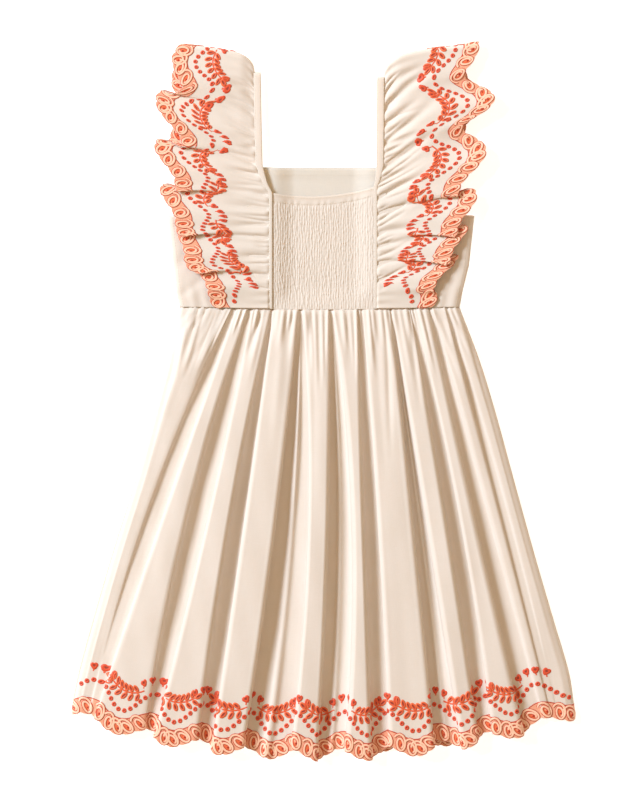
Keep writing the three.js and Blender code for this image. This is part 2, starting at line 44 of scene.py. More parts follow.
table = {
    "middleY": -2.17,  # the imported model's origin is in the middle of the outline
    "clothThick": 0.45,
    "lowestFace": 0.02,  # no face lies lower than this over the table
    "lowestCloth": 0.3,  # nor the middle of a cloth lower than this
}
creaseTaper = {"swells": (-0.12, 0.12), "dies": (0.45, 1.05)}  # shares of a crease's length


def smooth(start, end, x):
    t = np.clip((np.asarray(x, float) - start) / (end - start), 0, 1)
    return t * t * (3 - 2 * t)


def mix(a, b, t):
    return a + (b - a) * t


def bell(x, width):
    return np.exp(-((x / width) ** 2))


def unit(v):
    return v / np.maximum(np.linalg.norm(v, axis=-1, keepdims=True), 1e-9)


def smoothTable(rows, key, column, at):
    # a column's value at a place between the table's rows, joined by a smooth curve
    k, c = rows[key], rows[column]
    last = len(k) - 1
    i = 0
    while i < last - 1 and at > k[i + 1]:
        i += 1

    def slope(n):
        low, high = max(0, n - 1), min(last, n + 1)
        return (c[high] - c[low]) / (k[high] - k[low])

    gap, rise = k[i + 1] - k[i], c[i + 1] - c[i]
    t = min(1, max(0, (at - k[i]) / gap))
    bend = gap * ((1 - t) * slope(i) - t * slope(i + 1)) - rise * (1 - 2 * t)
    return c[i] + rise * t + t * (1 - t) * bend


def curveThrough(knots, us):
    # points of a smooth line through the knots, with u counting knots
    k = np.asarray(knots, float)
    ends = np.vstack([2 * k[0] - k[1], k, 2 * k[-1] - k[-2]])
    us = np.asarray(us, float)
    i = np.clip(np.floor(us).astype(int), 0, len(k) - 2)
    t = (us - i)[:, None]
    p = [ends[i + n] for n in range(4)]
    gap = [np.maximum(np.sum((p[n + 1] - p[n]) ** 2, axis=1) ** 0.25, 1e-4)[:, None] for n in range(3)]
    start = (p[1] - p[0]) / gap[0] - (p[2] - p[0]) / (gap[0] + gap[1]) + (p[2] - p[1]) / gap[1]
    stop = (p[2] - p[1]) / gap[1] - (p[3] - p[1]) / (gap[1] + gap[2]) + (p[3] - p[2]) / gap[2]
    a, b, rise = start * gap[1], stop * gap[1], p[2] - p[1]
    return p[1] + a * t + (3 * rise - 2 * a - b) * t**2 + (a + b - 2 * rise) * t**3


def runLength(points):
    # distance along a line of points, from its start
    steps = np.linalg.norm(np.diff(points, axis=0), axis=1)
    return np.concatenate([[0], np.cumsum(steps)])


def gridNormals(points, turned=False):
    n = unit(np.cross(np.gradient(points, axis=0), np.gradient(points, axis=1)))
    return -n if turned else n


def readGrid(grid, row, column):
    # a value between the grid's rows and columns
    rows, columns = grid.shape[:2]
    row, column = np.clip(row, 0, rows - 1.001), np.clip(column, 0, columns - 1.001)
    r, c = row.astype(int), column.astype(int)
    a, b = (row - r)[..., None], (column - c)[..., None]
    top = mix(grid[r, c], grid[r, c + 1], b)
    return mix(top, mix(grid[r + 1, c], grid[r + 1, c + 1], b), a)


def creased(points, creases):
    # lays soft troughs (or ridges, with a depth below 0) along lines: from x,y to x,y, depth, width
    x, y = points[..., 0], points[..., 1]
    for x0, y0, x1, y1, depth, width in creases:
        length = math.hypot(x1 - x0, y1 - y0)
        ahead = ((x1 - x0) / length, (y1 - y0) / length)
        t = ((x - x0) * ahead[0] + (y - y0) * ahead[1]) / length
        off = (x - x0) * ahead[1] - (y - y0) * ahead[0]
        taper = smooth(*creaseTaper["swells"], t) * (1 - smooth(*creaseTaper["dies"], t))
        points[..., 2] -= depth * bell(off, width) * taper
    return points


def addPiece(name, points, faces, materials, uv=None, faceMaterial=None):
    # a finished piece in metres, with its place in its mesh
    mesh = bpy.data.meshes.new(name)
    placed = (np.asarray(points, float) - [0, table["middleY"], 0]) / 1000
    mesh.from_pydata(placed.tolist(), [], faces if isinstance(faces, list) else faces.tolist())
    for material in materials:
        mesh.materials.append(material)
    if uv is not None:
        layer = mesh.uv_layers.new(name="flatCloth")
        order = np.zeros(len(mesh.loops), np.int32)
        mesh.loops.foreach_get("vertex_index", order)
        layer.data.foreach_set("uv", np.asarray(uv, np.float32)[order].ravel())
    if faceMaterial is not None:
        mesh.polygons.foreach_set("material_index", np.asarray(faceMaterial, np.int32))
    mesh.polygons.foreach_set("use_smooth", np.ones(len(mesh.polygons), bool))
    mesh.validate()
    piece = bpy.data.objects.new(name, mesh)
    bpy.context.scene.collection.objects.link(piece)
    return piece


def clothShell(points, uv, turned=False, thick=table["clothThick"]):
    # a closed thin cloth from a grid of its middle surface
    rows, columns = points.shape[:2]
    n = gridNormals(points, turned) * thick / 2
    low = (points - n).reshape(-1, 3)
    low[:, 2] = np.maximum(low[:, 2], table["lowestFace"])
    both = np.vstack([(points + n).reshape(-1, 3), low])
    index = np.arange(rows * columns).reshape(rows, columns)
    quads = np.stack([index[:-1, :-1], index[1:, :-1], index[1:, 1:], index[:-1, 1:]], -1).reshape(-1, 4)
    rim = np.concatenate([index[0, ::-1], index[1:, 0], index[-1, 1:], index[-2:0:-1, -1]])
    following = np.roll(rim, -1)
    under = rows * columns
    edge = np.stack([rim, rim + under, following + under, following], -1)
    faces = np.vstack([quads, quads[:, ::-1] + under, edge])
    if turned:
        faces = faces[:, ::-1]
    flat = uv.reshape(-1, 2)
    return both, faces, np.vstack([flat, flat])


# The materials: each is named for the real one and how it was made
threads = {
    "warpPitch": 0.55,  # real poplin yarns are 0.25 mm apart; twice that still shows close up
    "slubLength": 9,
    "cloudSize": 38,  # slow drift in the cream from washing and pressing
    "clothRoughness": 0.86,
    "clothSheen": 0.12,
    # light that comes through thin cream cotton is warm, and it warms the folds' floors
    "through": "#FFDCA6",
    "throughShare": 0.26,
    "satinPitch": 0.4,  # stitches of the embroidery lie 0.4 mm apart
    "satinRelief": 0.1,
    "satinSheen": 0.1,
}


def hexColour(code):
    channels = [int(code[i : i + 2], 16) / 255 for i in (1, 3, 5)]
    return (*[c / 12.92 if c <= 0.04045 else ((c + 0.055) / 1.055) ** 2.4 for c in channels], 1)


def addNode(material, kind, inputs=None, **settings):
    node = material.node_tree.nodes.new(kind)
    for name, value in settings.items():
        setattr(node, name, value)
    for name, value in (inputs or {}).items():
        if isinstance(value, bpy.types.NodeSocket):
            material.node_tree.links.new(value, node.inputs[name])
        else:
            node.inputs[name].default_value = value
    return node


def newMaterial(name):
    material = bpy.data.materials.new(name)
    material.use_nodes = True
    material.node_tree.nodes.clear()
    return material


def streaks(material, flat, scale, detail):
    # noise in flat millimetres of cloth, stretched along its yarns or stitches
    place = addNode(material, "ShaderNodeMapping", {"Vector": flat.outputs[0], "Scale": scale})
    noise = addNode(
        material,
        "ShaderNodeTexNoise",
        {"Vector": place.outputs[0], "Scale": 1.0, "Detail": detail},
    )
    return noise.outputs[0]


def toneBetween(material, value, low, high, dark, light):
    # the colour goes from dark to light as the value goes from low to high
    tone = addNode(material, "ShaderNodeMapRange", {"Value": value, "From Min": low, "From Max": high})
    colour = addNode(
        material,
        "ShaderNodeMix",
        {0: tone.outputs[0], 6: hexColour(dark), 7: hexColour(light)},
        data_type="RGBA",
    )
    return colour.outputs[2]


def threadFace(material, colour, height, strength, relief, roughness, sheen):
    # what faces the eye: the colour on the yarns' relief, which is given in millimetres
    bump = addNode(
        material,
        "ShaderNodeBump",
        {"Height": height, "Strength": strength, "Distance": relief / 1000},
    )
    face = addNode(
        material,
        "ShaderNodeBsdfPrincipled",
        {
            "Base Color": colour,
            "Normal": bump.outputs[0],
            "Roughness": roughness,
            "IOR": 1.5,
            "Sheen Weight": sheen,
            "Sheen Roughness": 0.5,
        },
    )
    return face.outputs[0]


def wovenCotton(name, light, dark, relief=0.06):
    # plain-woven cotton poplin: matt, with faint yarn streaks both ways and a slow drift in its tone
    material = newMaterial(name)
    flat = addNode(material, "ShaderNodeUVMap", uv_map="flatCloth")
    fine, slub = 1 / threads["warpPitch"], 1 / threads["slubLength"]
    warp = streaks(material, flat, (fine, slub, 1), 2.0)
    weft = streaks(material, flat, (slub, fine, 1), 2.0)
    yarns = addNode(material, "ShaderNodeMath", {0: warp, 1: weft}, operation="ADD")
    drift = addNode(
        material,
        "ShaderNodeTexNoise",
        {"Vector": flat.outputs[0], "Scale": 1 / threads["cloudSize"], "Detail": 3.0},
    )
    mixed = addNode(material, "ShaderNodeMath", {0: yarns.outputs[0], 1: drift.outputs[0]}, operation="ADD")
    colour = toneBetween(material, mixed.outputs[0], 1.0, 2.0, dark, light)
    roughness, sheen = threads["clothRoughness"], threads["clothSheen"]
    face = threadFace(material, colour, yarns.outputs[0], 0.5, relief, roughness, sheen)
    glow = addNode(material, "ShaderNodeBsdfTranslucent", {"Color": hexColour(threads["through"])})
    both = addNode(
        material,
        "ShaderNodeMixShader",
        {0: threads["throughShare"], 1: face, 2: glow.outputs[0]},
    )
    addNode(material, "ShaderNodeOutputMaterial", {"Surface": both.outputs[0]})
    return material


def satinThread(name, light, dark, roughness=0.5, across=(1, 0.12)):
    # rayon embroidery thread in satin stitch: side-by-side strands with a soft gleam
    material = newMaterial(name)
    flat = addNode(material, "ShaderNodeUVMap", uv_map="flatCloth")
    pitch = 1 / threads["satinPitch"]
    strand = streaks(material, flat, (pitch * across[0], pitch * across[1], 1), 1.0)
    colour = toneBetween(material, strand, 0.3, 0.7, dark, light)
    face = threadFace(material, colour, strand, 0.6, threads["satinRelief"], roughness, threads["satinSheen"])
    addNode(material, "ShaderNodeOutputMaterial", {"Surface": face})
    return material


# the cloth's right side is a matt warm white; the puckered panel is a little rougher, and painted a little
# deeper for the shade among its puckers; its wrong side, which faces up at the neck, is painted duller and
# cooler for shade
creamPoplin = wovenCotton("creamCottonPoplin", "#F5F0E8", "#EFE8DC")
# the same poplin with more relief, painted a little darker for the shade among the puckers
shirredPoplinShaded = wovenCotton("creamShirredPoplinPaintedShade", "#F2ECE3", "#EAE3D7", relief=0.08)
creamWrongSideShade = wovenCotton("creamPoplinWrongSidePaintedShade", "#E3E6E2", "#DADDD8")
# the threads gleam softly: sewing thread a shade yellower than the cloth, pale curls on an even pink ground,
# bright orange and red for the motifs, and duller outlines and painted eyelet shade that draw the pattern
creamThread = satinThread("creamSewingThread", "#EFE6D3", "#DDD0B8", 0.6)
peachSatin = satinThread("peachSatinStitch", "#FFD3B6", "#F8BD9B")
pinkGround = satinThread("palePinkFillStitch", "#F4B292", "#E6946F", 0.6, (0.5, 0.5))
orangeSatin = satinThread("orangeSatinStitch", "#EC7642", "#DE5C33")
redSatin = satinThread("redOrangeSatinStitch", "#E4572F", "#D04223")
brickOutline = satinThread("brickOutlineStitch", "#D25430", "#B03E25", 0.6)
# dark red thread for the leaves' middles, and painted shade standing in for the small holes in the eyelets'
# middles
eyeletShadeAndDarkThread = satinThread("eyeletHoleShadeAndDarkThread", "#A83C26", "#86301F", 0.7)
borderMaterials = [peachSatin, pinkGround, orangeSatin, redSatin, brickOutline, eyeletShadeAndDarkThread]
peach, pink, orange, red, brick, dark = range(len(borderMaterials))
print("materials made")

# The skirt
skirt = {
    "waistY": 83,
    "waistRise": 3,
    "left": -132,
    "right": 125,
    "hemY": -325,
    "hemRise": 37,
    "hemHalf": 232,
    "middle": 0.45,  # the middle station's share of the way down
    "seamGap": 0.3,
    "tuckedUnder": 0.6,  # the skirt's top runs this far up under the bodice
    "columns": {"back": 440, "front": 230},
    "rows": {"back": 111, "front": 58},
    "flatDown": 395,  # millimetres of cloth from the waist to the hem
    "runsOn": 1.04,  # the surface is worked out this far past the hem's line, for its scallops
    "sectionRows": 150,
}
# how much the hem, the middle, the waist and the section itself have to say in the spacing of the columns
columnShares = {"places": ((1, 0.38), (skirt["middle"], 0.3), (0, 0.22)), "section": 0.1}
skirtSides = {
    "t": [0, 0.13, 0.25, 0.43, 0.61, 0.79, 0.91, 1],
    "left": [-132, -142, -154, -172.5, -193.5, -213, -225, -232],
    "right": [125, 143.5, 157.5, 176, 194.5, 214, 227, 232],
}
# heights of the cloths' middles; three values are at the waist, the middle and the hem
level = {
    "floor": 0.6,
    "frontAtWaist": 2.6,
    "frontOverRuffle": 4.4,
    "betweenPanels": 3.4,
    "settles": 0.03,  # the front comes down from the waist over this share of the way
    "ridge": (6.7, 17, 15),
    "valley": (4.9, 4.3, 4.3),
    "sideZone": (6.2, 8, 7.5),
}
# each deep fold: its middle line, its opening and its depth at the waist, the middle and the hem, how far
# the ridges on its two sides hang over it, and a low ridge inside
backFolds = [
    {"x": (-82, -148, -214), "width": (5, 15, 6), "depth": (1, 1, 0.05), "lip": (-1.5, 2), "bump": 0},
    {"x": (-67, -112, -160), "width": (4.6, 18, 9), "depth": (1, 1, 0.75), "lip": (-1.5, 3), "bump": 0},
    {"x": (-47, -77, -109), "width": (2.6, 12, 13), "depth": (1, 1, 0.8), "lip": (-1, 2), "bump": 0},
    {"x": (-21, -28, -52), "width": (4, 28, 43), "depth": (1, 1, 0.95), "lip": (4, 4), "bump": 3},
    {"x": (7, 15, 7), "width": (4.6, 21, 25), "depth": (1, 1, 0.9), "lip": (2, -1.5), "bump": 2},
    {"x": (33.5, 43, 52.5), "width": (5, 12, 16), "depth": (1, 1, 0.9), "lip": (-1, 2), "bump": 0},
    {"x": (62, 86, 114), "width": (2.6, 11, 24), "depth": (1, 1, 0.85), "lip": (4, -1.5), "bump": 1},
    {"x": (81, 116, 149), "width": (3.6, 12, 13), "depth": (1, 1, 0.7), "lip": (-1, 2), "bump": 0},
    {"x": (98, 141, 193), "width": (3.8, 13, 20), "depth": (1, 0.9, 0.6), "lip": (-1.5, -1), "bump": 0},
    {"x": (113, 161, 213), "width": (3, 8, 6), "depth": (0.8, 0.6, 0.05), "lip": (-1, -1), "bump": 0},
]
# how every deep fold and ridge is shaped; shares of a width, or of a height from a ridge down to the floor
foldShape = {
    "narrowest": 2.2,
    "shallowest": 0.04,
    "leansBy": 0.3,  # the share of the way down by which its sides lean or slope in full
    "leanForDepth": 1.2,
    "shoulder": {"least": 0.8, "forWidth": 0.3, "most": 2.6},  # from the edge out to the shoulder
    "slope": {"foot": 0.4, "edge": 0.3, "shoulder": 0.4, "footLeast": 0.55},
    "edgeDrop": 0.22,
    "footDrop": 0.78,
    "floorHalf": 0.3,
    "ridgeRoom": 0.2,  # the share of a ridge that its shoulders leave free on each side of its middle
}
ridgeShape = {
    "flatFrom": 0.14,  # a ridge is flat from this share of its width on
    "crown": 0.4,  # the most that its middle stands up
    "crownForWidth": 0.012,
    "besideCrown": 0.7,
}
# the back's two side edges: how it rises over the front's seam, at the waist and at the hem
sideEdge = {
    "over": 0.9,
    "stands": (0.2, 1.1),
    "turns": {"in": (0.9, 1.6), "share": 0.62},
    "ends": {"in": (2.4, 6), "share": 0.92},
    "room": 1.5,
    "lowFor": (2, 12),  # from the side, ridges are low for this far and reach their height over the zone
    "zone": (6, 75),
}
frontFolds = [
    {"x": (-100, -150, -196), "width": (8, 13, 14)},
    {"x": (-62, -96, -124), "width": (8, 14, 15)},
    {"x": (-30, -52, -70), "width": (7, 12, 13)},
    {"x": (2, -2, -12), "width": (8, 14, 15)},
    {"x": (34, 44, 52), "width": (7, 12, 14)},
    {"x": (64, 92, 120), "width": (8, 13, 14)},
    {"x": (98, 146, 190), "width": (8, 13, 14)},
]
frontPleat = {"high": 1.7, "top": 0.25, "topSides": 0.8, "margin": 6}
hemOf = {
    "back": {"shorter": 0, "skew": 0, "phase": 0.2},
    "front": {"shorter": 6, "skew": -4, "phase": 0.217},
}
scallop = {"pitch": 60, "rise": 5.4, "curlRise": 2.2, "curl": 10.7}
# small gathers at the waist seam: each has its own height, width and length
waistGathers = {
    "count": 44,
    "high": (1.0, 2.6),
    "width": (1.0, 2.0),
    "long": (18, 85),
    "offPlace": 0.3,  # each lies off its even place by up to this share of the spacing
    "slant": 0.02,
    "widens": 60,  # it is twice as wide this far down
    "fullFor": 0.35,  # and keeps its height for this share of its length
    "tuck": 1.3,
    "seed": 11,
}
# fine creases that run on down the ridges, read off the photograph: from x,y to x,y, depth, width
skirtCreases = [
    (-92, 85, -108, 40, 1.5, 2.4),
    (-100, 85, -119, 48, 1.4, 2.2),
    (-107, 85, -127, 58, 1.3, 2),
    (-114, 85, -134, 60, 1.2, 2),
    (-121, 85, -140, 66, 1.1, 1.9),
    (-127, 85, -143, 72, 0.9, 1.8),
    (104, 85, 117, 48, 1.3, 2.2),
    (117, 85, 133, 58, 1.1, 2),
    (122, 85, 139, 66, 1, 1.8),
    (58, 84, 62, -58, 1.5, 2.6),
    (78, 84, 90, -16, 1.5, 2.8),
    (-56, 80, -76, 28, 1.7, 3.4),
    (-47, 84, -55, 30, 1.3, 2.2),
    (-12, 82, -13, 26, 1.2, 2.2),
    (18, 82, 20, 20, -0.9, 3),
    (-96, 82, -130, 18, 1.2, 3),
    (-110, 80, -150, 0, 0.9, 3.6),
    (-36, 78, -48, -60, -0.7, 4),
    (-62, 0, -88, -150, 0.7, 6),
    (70, -20, 84, -170, 0.6, 6),
    (48, 60, 58, -100, 0.6, 4),
    (100, 78, 128, 10, 1.1, 2.6),
    (113, 80, 140, 30, 1.1, 2.4),
    (-8, 60, -10, -120, 0.6, 4),
    (-28, -100, -44, -250, 0.8, 5),
    (-130, -40, -180, -230, 0.8, 8),
    (120, -60, 160, -240, 0.7, 7),
    (66, -120, 82, -280, 0.6, 8),
    (-84, -160, -104, -300, 0.6, 8),
]


def along(values, t):
    a, b, c = values
    m = skirt["middle"]
    return a * (t - m) * (t - 1) / m + b * t * (t - 1) / (m * (m - 1)) + c * t * (t - m) / (1 - m)


def waistLine(x):
    return skirt["waistY"] + skirt["waistRise"] * (np.asarray(x, float) / skirt["right"]) ** 2


def frontSkirtLevel(t):
    return level["floor"] + (level["frontAtWaist"] - level["floor"]) * math.exp(-t / level["settles"])


def skirtEdges(t):
    return [smoothTable(skirtSides, "t", hand, t) for hand in ("left", "right")]


def foldAt(fold, t):
    # where a fold's two sides have their shoulder, edge and foot
    shape, slant = foldShape, foldShape["slope"]
    x, w = along(fold["x"], t), max(shape["narrowest"], along(fold["width"], t)) / 2
    depth = min(1, max(shape["shallowest"], along(fold["depth"], t)))
    opened = float(smooth(0, shape["leansBy"], t)) * min(1, depth * shape["leanForDepth"])
    ease = min(shape["shoulder"]["most"], shape["shoulder"]["least"] + w * shape["shoulder"]["forWidth"])
    found = {"x": x, "w": w, "depth": depth, "bump": fold["bump"] * opened}
    for hand, way, lip in zip(("left", "right"), (-1, 1), fold["lip"]):
        hang, slope = max(0, lip) * opened, max(0, -lip) * opened
        foot = x + way * (max(w - slope * slant["foot"], w * slant["footLeast"]) + hang)
        edge = x + way * (w + slope * slant["edge"])
        shoulderAt = edge + way * (ease + slope * slant["shoulder"])
        found[hand] = {"foot": foot, "edge": edge, "shoulder": shoulderAt}
    return found


def backKnots(t):
    # the back skirt's section, from the left side seam over ridges and folds to the right one
    left, right = skirtEdges(t)
    top, low = along(level["ridge"], t), along(level["sideZone"], t)
    seam = frontSkirtLevel(t) + sideEdge["over"]
    zone = mix(*sideEdge["zone"], float(smooth(0, skirt["middle"], t)))
    corner = float(smooth(0, 0.2, t))

    def ridge(x):
        return mix(low, top, float(smooth(mix(*sideEdge["lowFor"], t), zone, min(x - left, right - x))))

    def sideKnots(x, way):
        inwards, upwards = sideEdge["stands"]
        turned = [
            (x + way * mix(*step["in"], corner), mix(seam, low, step["share"]))
            for step in (sideEdge["turns"], sideEdge["ends"])
        ]
        return [(x, seam), (x + way * inwards, seam + upwards), *turned]

    folds = [foldAt(fold, t) for fold in backFolds]
    for before, after in zip(folds, folds[1:]):
        a, b = before["right"], after["left"]
        middle = (a["edge"] + b["edge"]) / 2
        room = max(0.5, b["edge"] - a["edge"]) * foldShape["ridgeRoom"]
        a["shoulder"], b["shoulder"] = min(a["shoulder"], middle - room), max(b["shoulder"], middle + room)
    knots, end = sideKnots(left, 1), sideKnots(right, -1)[::-1]
    first, last = folds[0]["left"], folds[-1]["right"]
    first["shoulder"] = max(first["shoulder"], knots[-1][0] + sideEdge["room"])
    last["shoulder"] = min(last["shoulder"], end[0][0] - sideEdge["room"])

    # each ridge lies flat at its own height
    starts = [knots[-1][0]] + [fold["right"]["shoulder"] for fold in folds]
    stops = [fold["left"]["shoulder"] for fold in folds] + [end[0][0]]
    heights = [ridge((start + stop) / 2) for start, stop in zip(starts, stops)]

    def crown(k):
        # a ridge is flat nearly to its shoulders, where it turns down crisply
        wide, flat, beside = stops[k] - starts[k], ridgeShape["flatFrom"], ridgeShape["besideCrown"]
        high = min(ridgeShape["crown"], ridgeShape["crownForWidth"] * wide) * corner
        for share, lift in ((flat, beside), (0.5, 1), (1 - flat, beside)):
            knots.append((starts[k] + share * wide, heights[k] + lift * high))

    for k, fold in enumerate(folds):
        a, b, x, w = fold["left"], fold["right"], fold["x"], fold["w"]
        za, zb = heights[k], heights[k + 1]
        bottom = mix((za + zb) / 2, along(level["valley"], t), fold["depth"])
        crown(k)
        knots += [
            (a["shoulder"], za),
            (a["edge"], mix(za, bottom, foldShape["edgeDrop"])),
            (a["foot"], mix(za, bottom, foldShape["footDrop"])),
            (x - w * foldShape["floorHalf"], bottom),
            (x, bottom + fold["bump"]),
            (x + w * foldShape["floorHalf"], bottom),
            (b["foot"], mix(zb, bottom, foldShape["footDrop"])),
            (b["edge"], mix(zb, bottom, foldShape["edgeDrop"])),
            (b["shoulder"], zb),
        ]
    crown(len(folds))
    return knots + end


def frontKnots(t):
    z = frontSkirtLevel(t)
    left, right = skirtEdges(t)
    high = frontPleat["high"] * float(smooth(0.02, 0.25, t))
    knots = [(left, z), (left + frontPleat["margin"], z)]
    for fold in frontFolds:
        x, w = along(fold["x"], t), along(fold["width"], t) / 2
        near = w * frontPleat["top"]
        beside = z + high * frontPleat["topSides"]
        knots += [(x - w, z), (x - near, beside), (x, z + high), (x + near, beside), (x + w, z)]
    return knots + [(right - frontPleat["margin"], z), (right, z)]


knotsOf = {"back": backKnots, "front": frontKnots}


def scallopEdge(distance, phase, curlPitch):
    # how far the embroidered edge stands out at a flat distance along it
    turn = 2 * np.pi * distance / scallop["pitch"] + 2 * np.pi * phase
    curl = np.sqrt(np.abs(np.sin(np.pi * distance / curlPitch)))
    return scallop["rise"] * np.cos(turn) + scallop["curlRise"] * curl


def skirtSurface(side, us, ts):
    # the panel's middle surface before its hem is scalloped, row by row down from the waist
    knots = knotsOf[side]
    start = curveThrough(knots(0), us)[:, 0]
    out = curveThrough(knots(1), us)[:, 0] / skirt["hemHalf"]
    hem = skirt["hemY"] + skirt["hemRise"] * out**2 + hemOf[side]["shorter"] + hemOf[side]["skew"] * out
    top = waistLine(start) + skirt["tuckedUnder"]
    rows = []
    for t in ts:
        section = curveThrough(knots(t), us)
        rows.append(np.stack([section[:, 0], mix(top, hem, t), section[:, 1]], -1))
    points = np.array(rows)
    return relieved(side, points, start, np.asarray(ts)[:, None])


def relieved(side, points, start, t):
    # small gathers at the seam, fine creases and a faint unevenness of the ridges
    rng = np.random.default_rng(waistGathers["seed"] + (side == "front"))
    count = waistGathers["count"]
    wide = skirt["right"] - skirt["left"]
    down = t * skirt["flatDown"]
    lift = np.zeros(points.shape[:2])
    for k in range(count):
        off, slant = waistGathers["offPlace"], waistGathers["slant"]
        at = skirt["left"] + wide * (k + 0.5 + rng.uniform(-off, off)) / count
        high, width = rng.uniform(*waistGathers["high"]), rng.uniform(*waistGathers["width"])
        long = rng.uniform(*waistGathers["long"])
        swell = smooth(-6, 6, down) * (1 - smooth(waistGathers["fullFor"] * long, long, down))
        aside = start[None, :] - at - rng.uniform(-slant, slant) * down
        lift += high * swell * bell(aside, width * (1 + down / waistGathers["widens"]))
    ends = smooth(0, 6, np.minimum(start - skirt["left"], skirt["right"] - start))
    points[..., 2] += lift * ends[None, :] - waistGathers["tuck"] * bell(down, 0.8)
    x, y = points[..., 0], points[..., 1]
    if side == "back":
        fade = smooth(0, 0.12, t)
        points[..., 2] += 0.3 * fade * np.sin(x / 5.3 + y / 61) * np.sin(y / 37 + x / 23)
        points[..., 2] += 0.35 * fade * np.sin(x / 11 - y / 90 + 1.3)
        creased(points, skirtCreases)
    points[..., 2] = np.maximum(points[..., 2], level["floor"])
    return points


def evenColumns(side, count):
    # columns shared out between the hem's, the middle's and the section's own spacing
    spans = len(knotsOf[side](1)) - 1
    us = np.linspace(0, spans, spans * 12 + 1)
    share = columnShares["section"] * us / spans
    for t, weight in columnShares["places"]:
        run = runLength(curveThrough(knotsOf[side](t), us))
        share = share + weight * run / run[-1]
    return np.interp(np.linspace(0, 1, count), share, us)


def hemGrid(side):
    # the flat hem: us and flat distances along it
    spans = len(knotsOf[side](1)) - 1
    us = np.linspace(0, spans, spans * 14 + 1)
    return us, runLength(curveThrough(knotsOf[side](1), us))


def makeSkirt(side):
    count, rows = skirt["columns"][side], skirt["rows"][side]
    us = evenColumns(side, count)
    hemU, hemRun = hemGrid(side)
    flat = np.interp(us, hemU, hemRun)
    ts = np.linspace(0, skirt["runsOn"], skirt["sectionRows"])
    base = skirtSurface(side, us, ts)
    even = np.linspace(0, 1, rows)
    share = mix(even, 0.5 - 0.5 * np.cos(np.pi * even), 0.5)[:, None]
    fall = scallopEdge(flat, hemOf[side]["phase"], scallop["curl"]) / skirt["flatDown"]
    t = share * (1 + fall[None, :] * share**7)
    columns = np.broadcast_to(np.arange(count), t.shape)
    points = readGrid(base, t / ts[1], columns)
    uv = np.stack([np.broadcast_to(flat, t.shape), -t * skirt["flatDown"]], -1)
    shell = clothShell(points, uv)
    piece = addPiece(f"skirt_{side}_cloth", *shell[:2], [creamPoplin], shell[2])
    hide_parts(f"skirt_{side}")
    return piece, points, float(hemRun[-1])


skirtBack, backPoints, backHemLong = makeSkirt("back")
skirtFront, frontPoints, frontHemLong = makeSkirt("front")
print("skirt made, hems", round(backHemLong), round(frontHemLong))

# The bodice
bodice = {
    "side": {
        "y": [83, 101, 124, 170],
        "left": [-132, -135.7, -138.5, -143.5],
        "right": [125, 128.3, 134, 139],
    },
    "underarm": 170,
    "frontNeck": 214.5,
    "frontTop": {"left": -61.5, "right": 57},
    "backTop": {"left": 190, "right": 196},
    "seamShare": 0.6,  # the side seam's share of a panel's edge; the rest goes round the armhole
    "rampFrom": 26,  # out from the middle, the cloth rises between these two over the ruffles' front halves
    "rampTo": 46,
    "levelOff": 22,  # and it does so over this way up from the waist
    "neckBack": {"left": 190.5, "middle": 188, "right": 196},
    "halfWidth": 46,
}


def frontLevel(x, y):
    out = smooth(bodice["rampFrom"], bodice["rampTo"], np.abs(x))
    up = smooth(skirt["waistY"], skirt["waistY"] + bodice["levelOff"], y)
    return mix(level["frontAtWaist"], mix(level["floor"], level["frontOverRuffle"], out), up)


def backLevel(x, y):
    return frontLevel(x, y) + level["betweenPanels"]


def panelEdge(q, hand, topX, topY):
    # up the side seam and then round the armhole
    share = bodice["seamShare"]
    y = mix(skirt["waistY"], bodice["underarm"], np.minimum(1, q / share))
    x = np.interp(y, bodice["side"]["y"], bodice["side"][hand])
    turn = np.pi / 2 * np.clip((q - share) / (1 - share), 0, 1)
    curved = q > share
    edgeX = np.where(curved, mix(x, topX, np.sin(turn)), x)
    edgeY = np.where(curved, mix(topY, bodice["underarm"], np.cos(turn)), y)
    return edgeX, edgeY


def overWaist(x, q):
    return np.where(q <= 0, waistLine(x) + skirt["seamGap"] / 2 - skirt["waistY"], 0)


def shareGrid(columns, rows):
    return np.meshgrid(np.linspace(0, 1, columns), np.linspace(0, 1, rows))


def makeFrontBodice():
    a, b = shareGrid(90, 64)
    q = 1 - b
    left, leftY = panelEdge(q, "left", bodice["frontTop"]["left"], bodice["frontNeck"])
    right, rightY = panelEdge(q, "right", bodice["frontTop"]["right"], bodice["frontNeck"])
    x = mix(left, right, a)
    y = mix(leftY, rightY, a) + overWaist(x, q)
    points = np.stack([x, y, frontLevel(x, y)], -1)
    # the neckline's turned hem and a few slack creases of the inner face
    points[..., 2] += 0.25 * smooth(205.5, 207, y) * (1 - 0.4 * smooth(210, 214, y))
    creased(points, [(-40, 204, 10, 199, 0.5, 3), (46, 200, 20, 208, 0.6, 3), (-55, 212, -45, 190, 0.7, 2)])
    points[..., 2] = np.maximum(points[..., 2], table["lowestCloth"])
    shell = clothShell(points, points[..., :2])
    piece = addPiece("bodice_front_cloth", *shell[:2], [creamWrongSideShade], shell[2])
    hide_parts("bodice_front")
    return piece, points


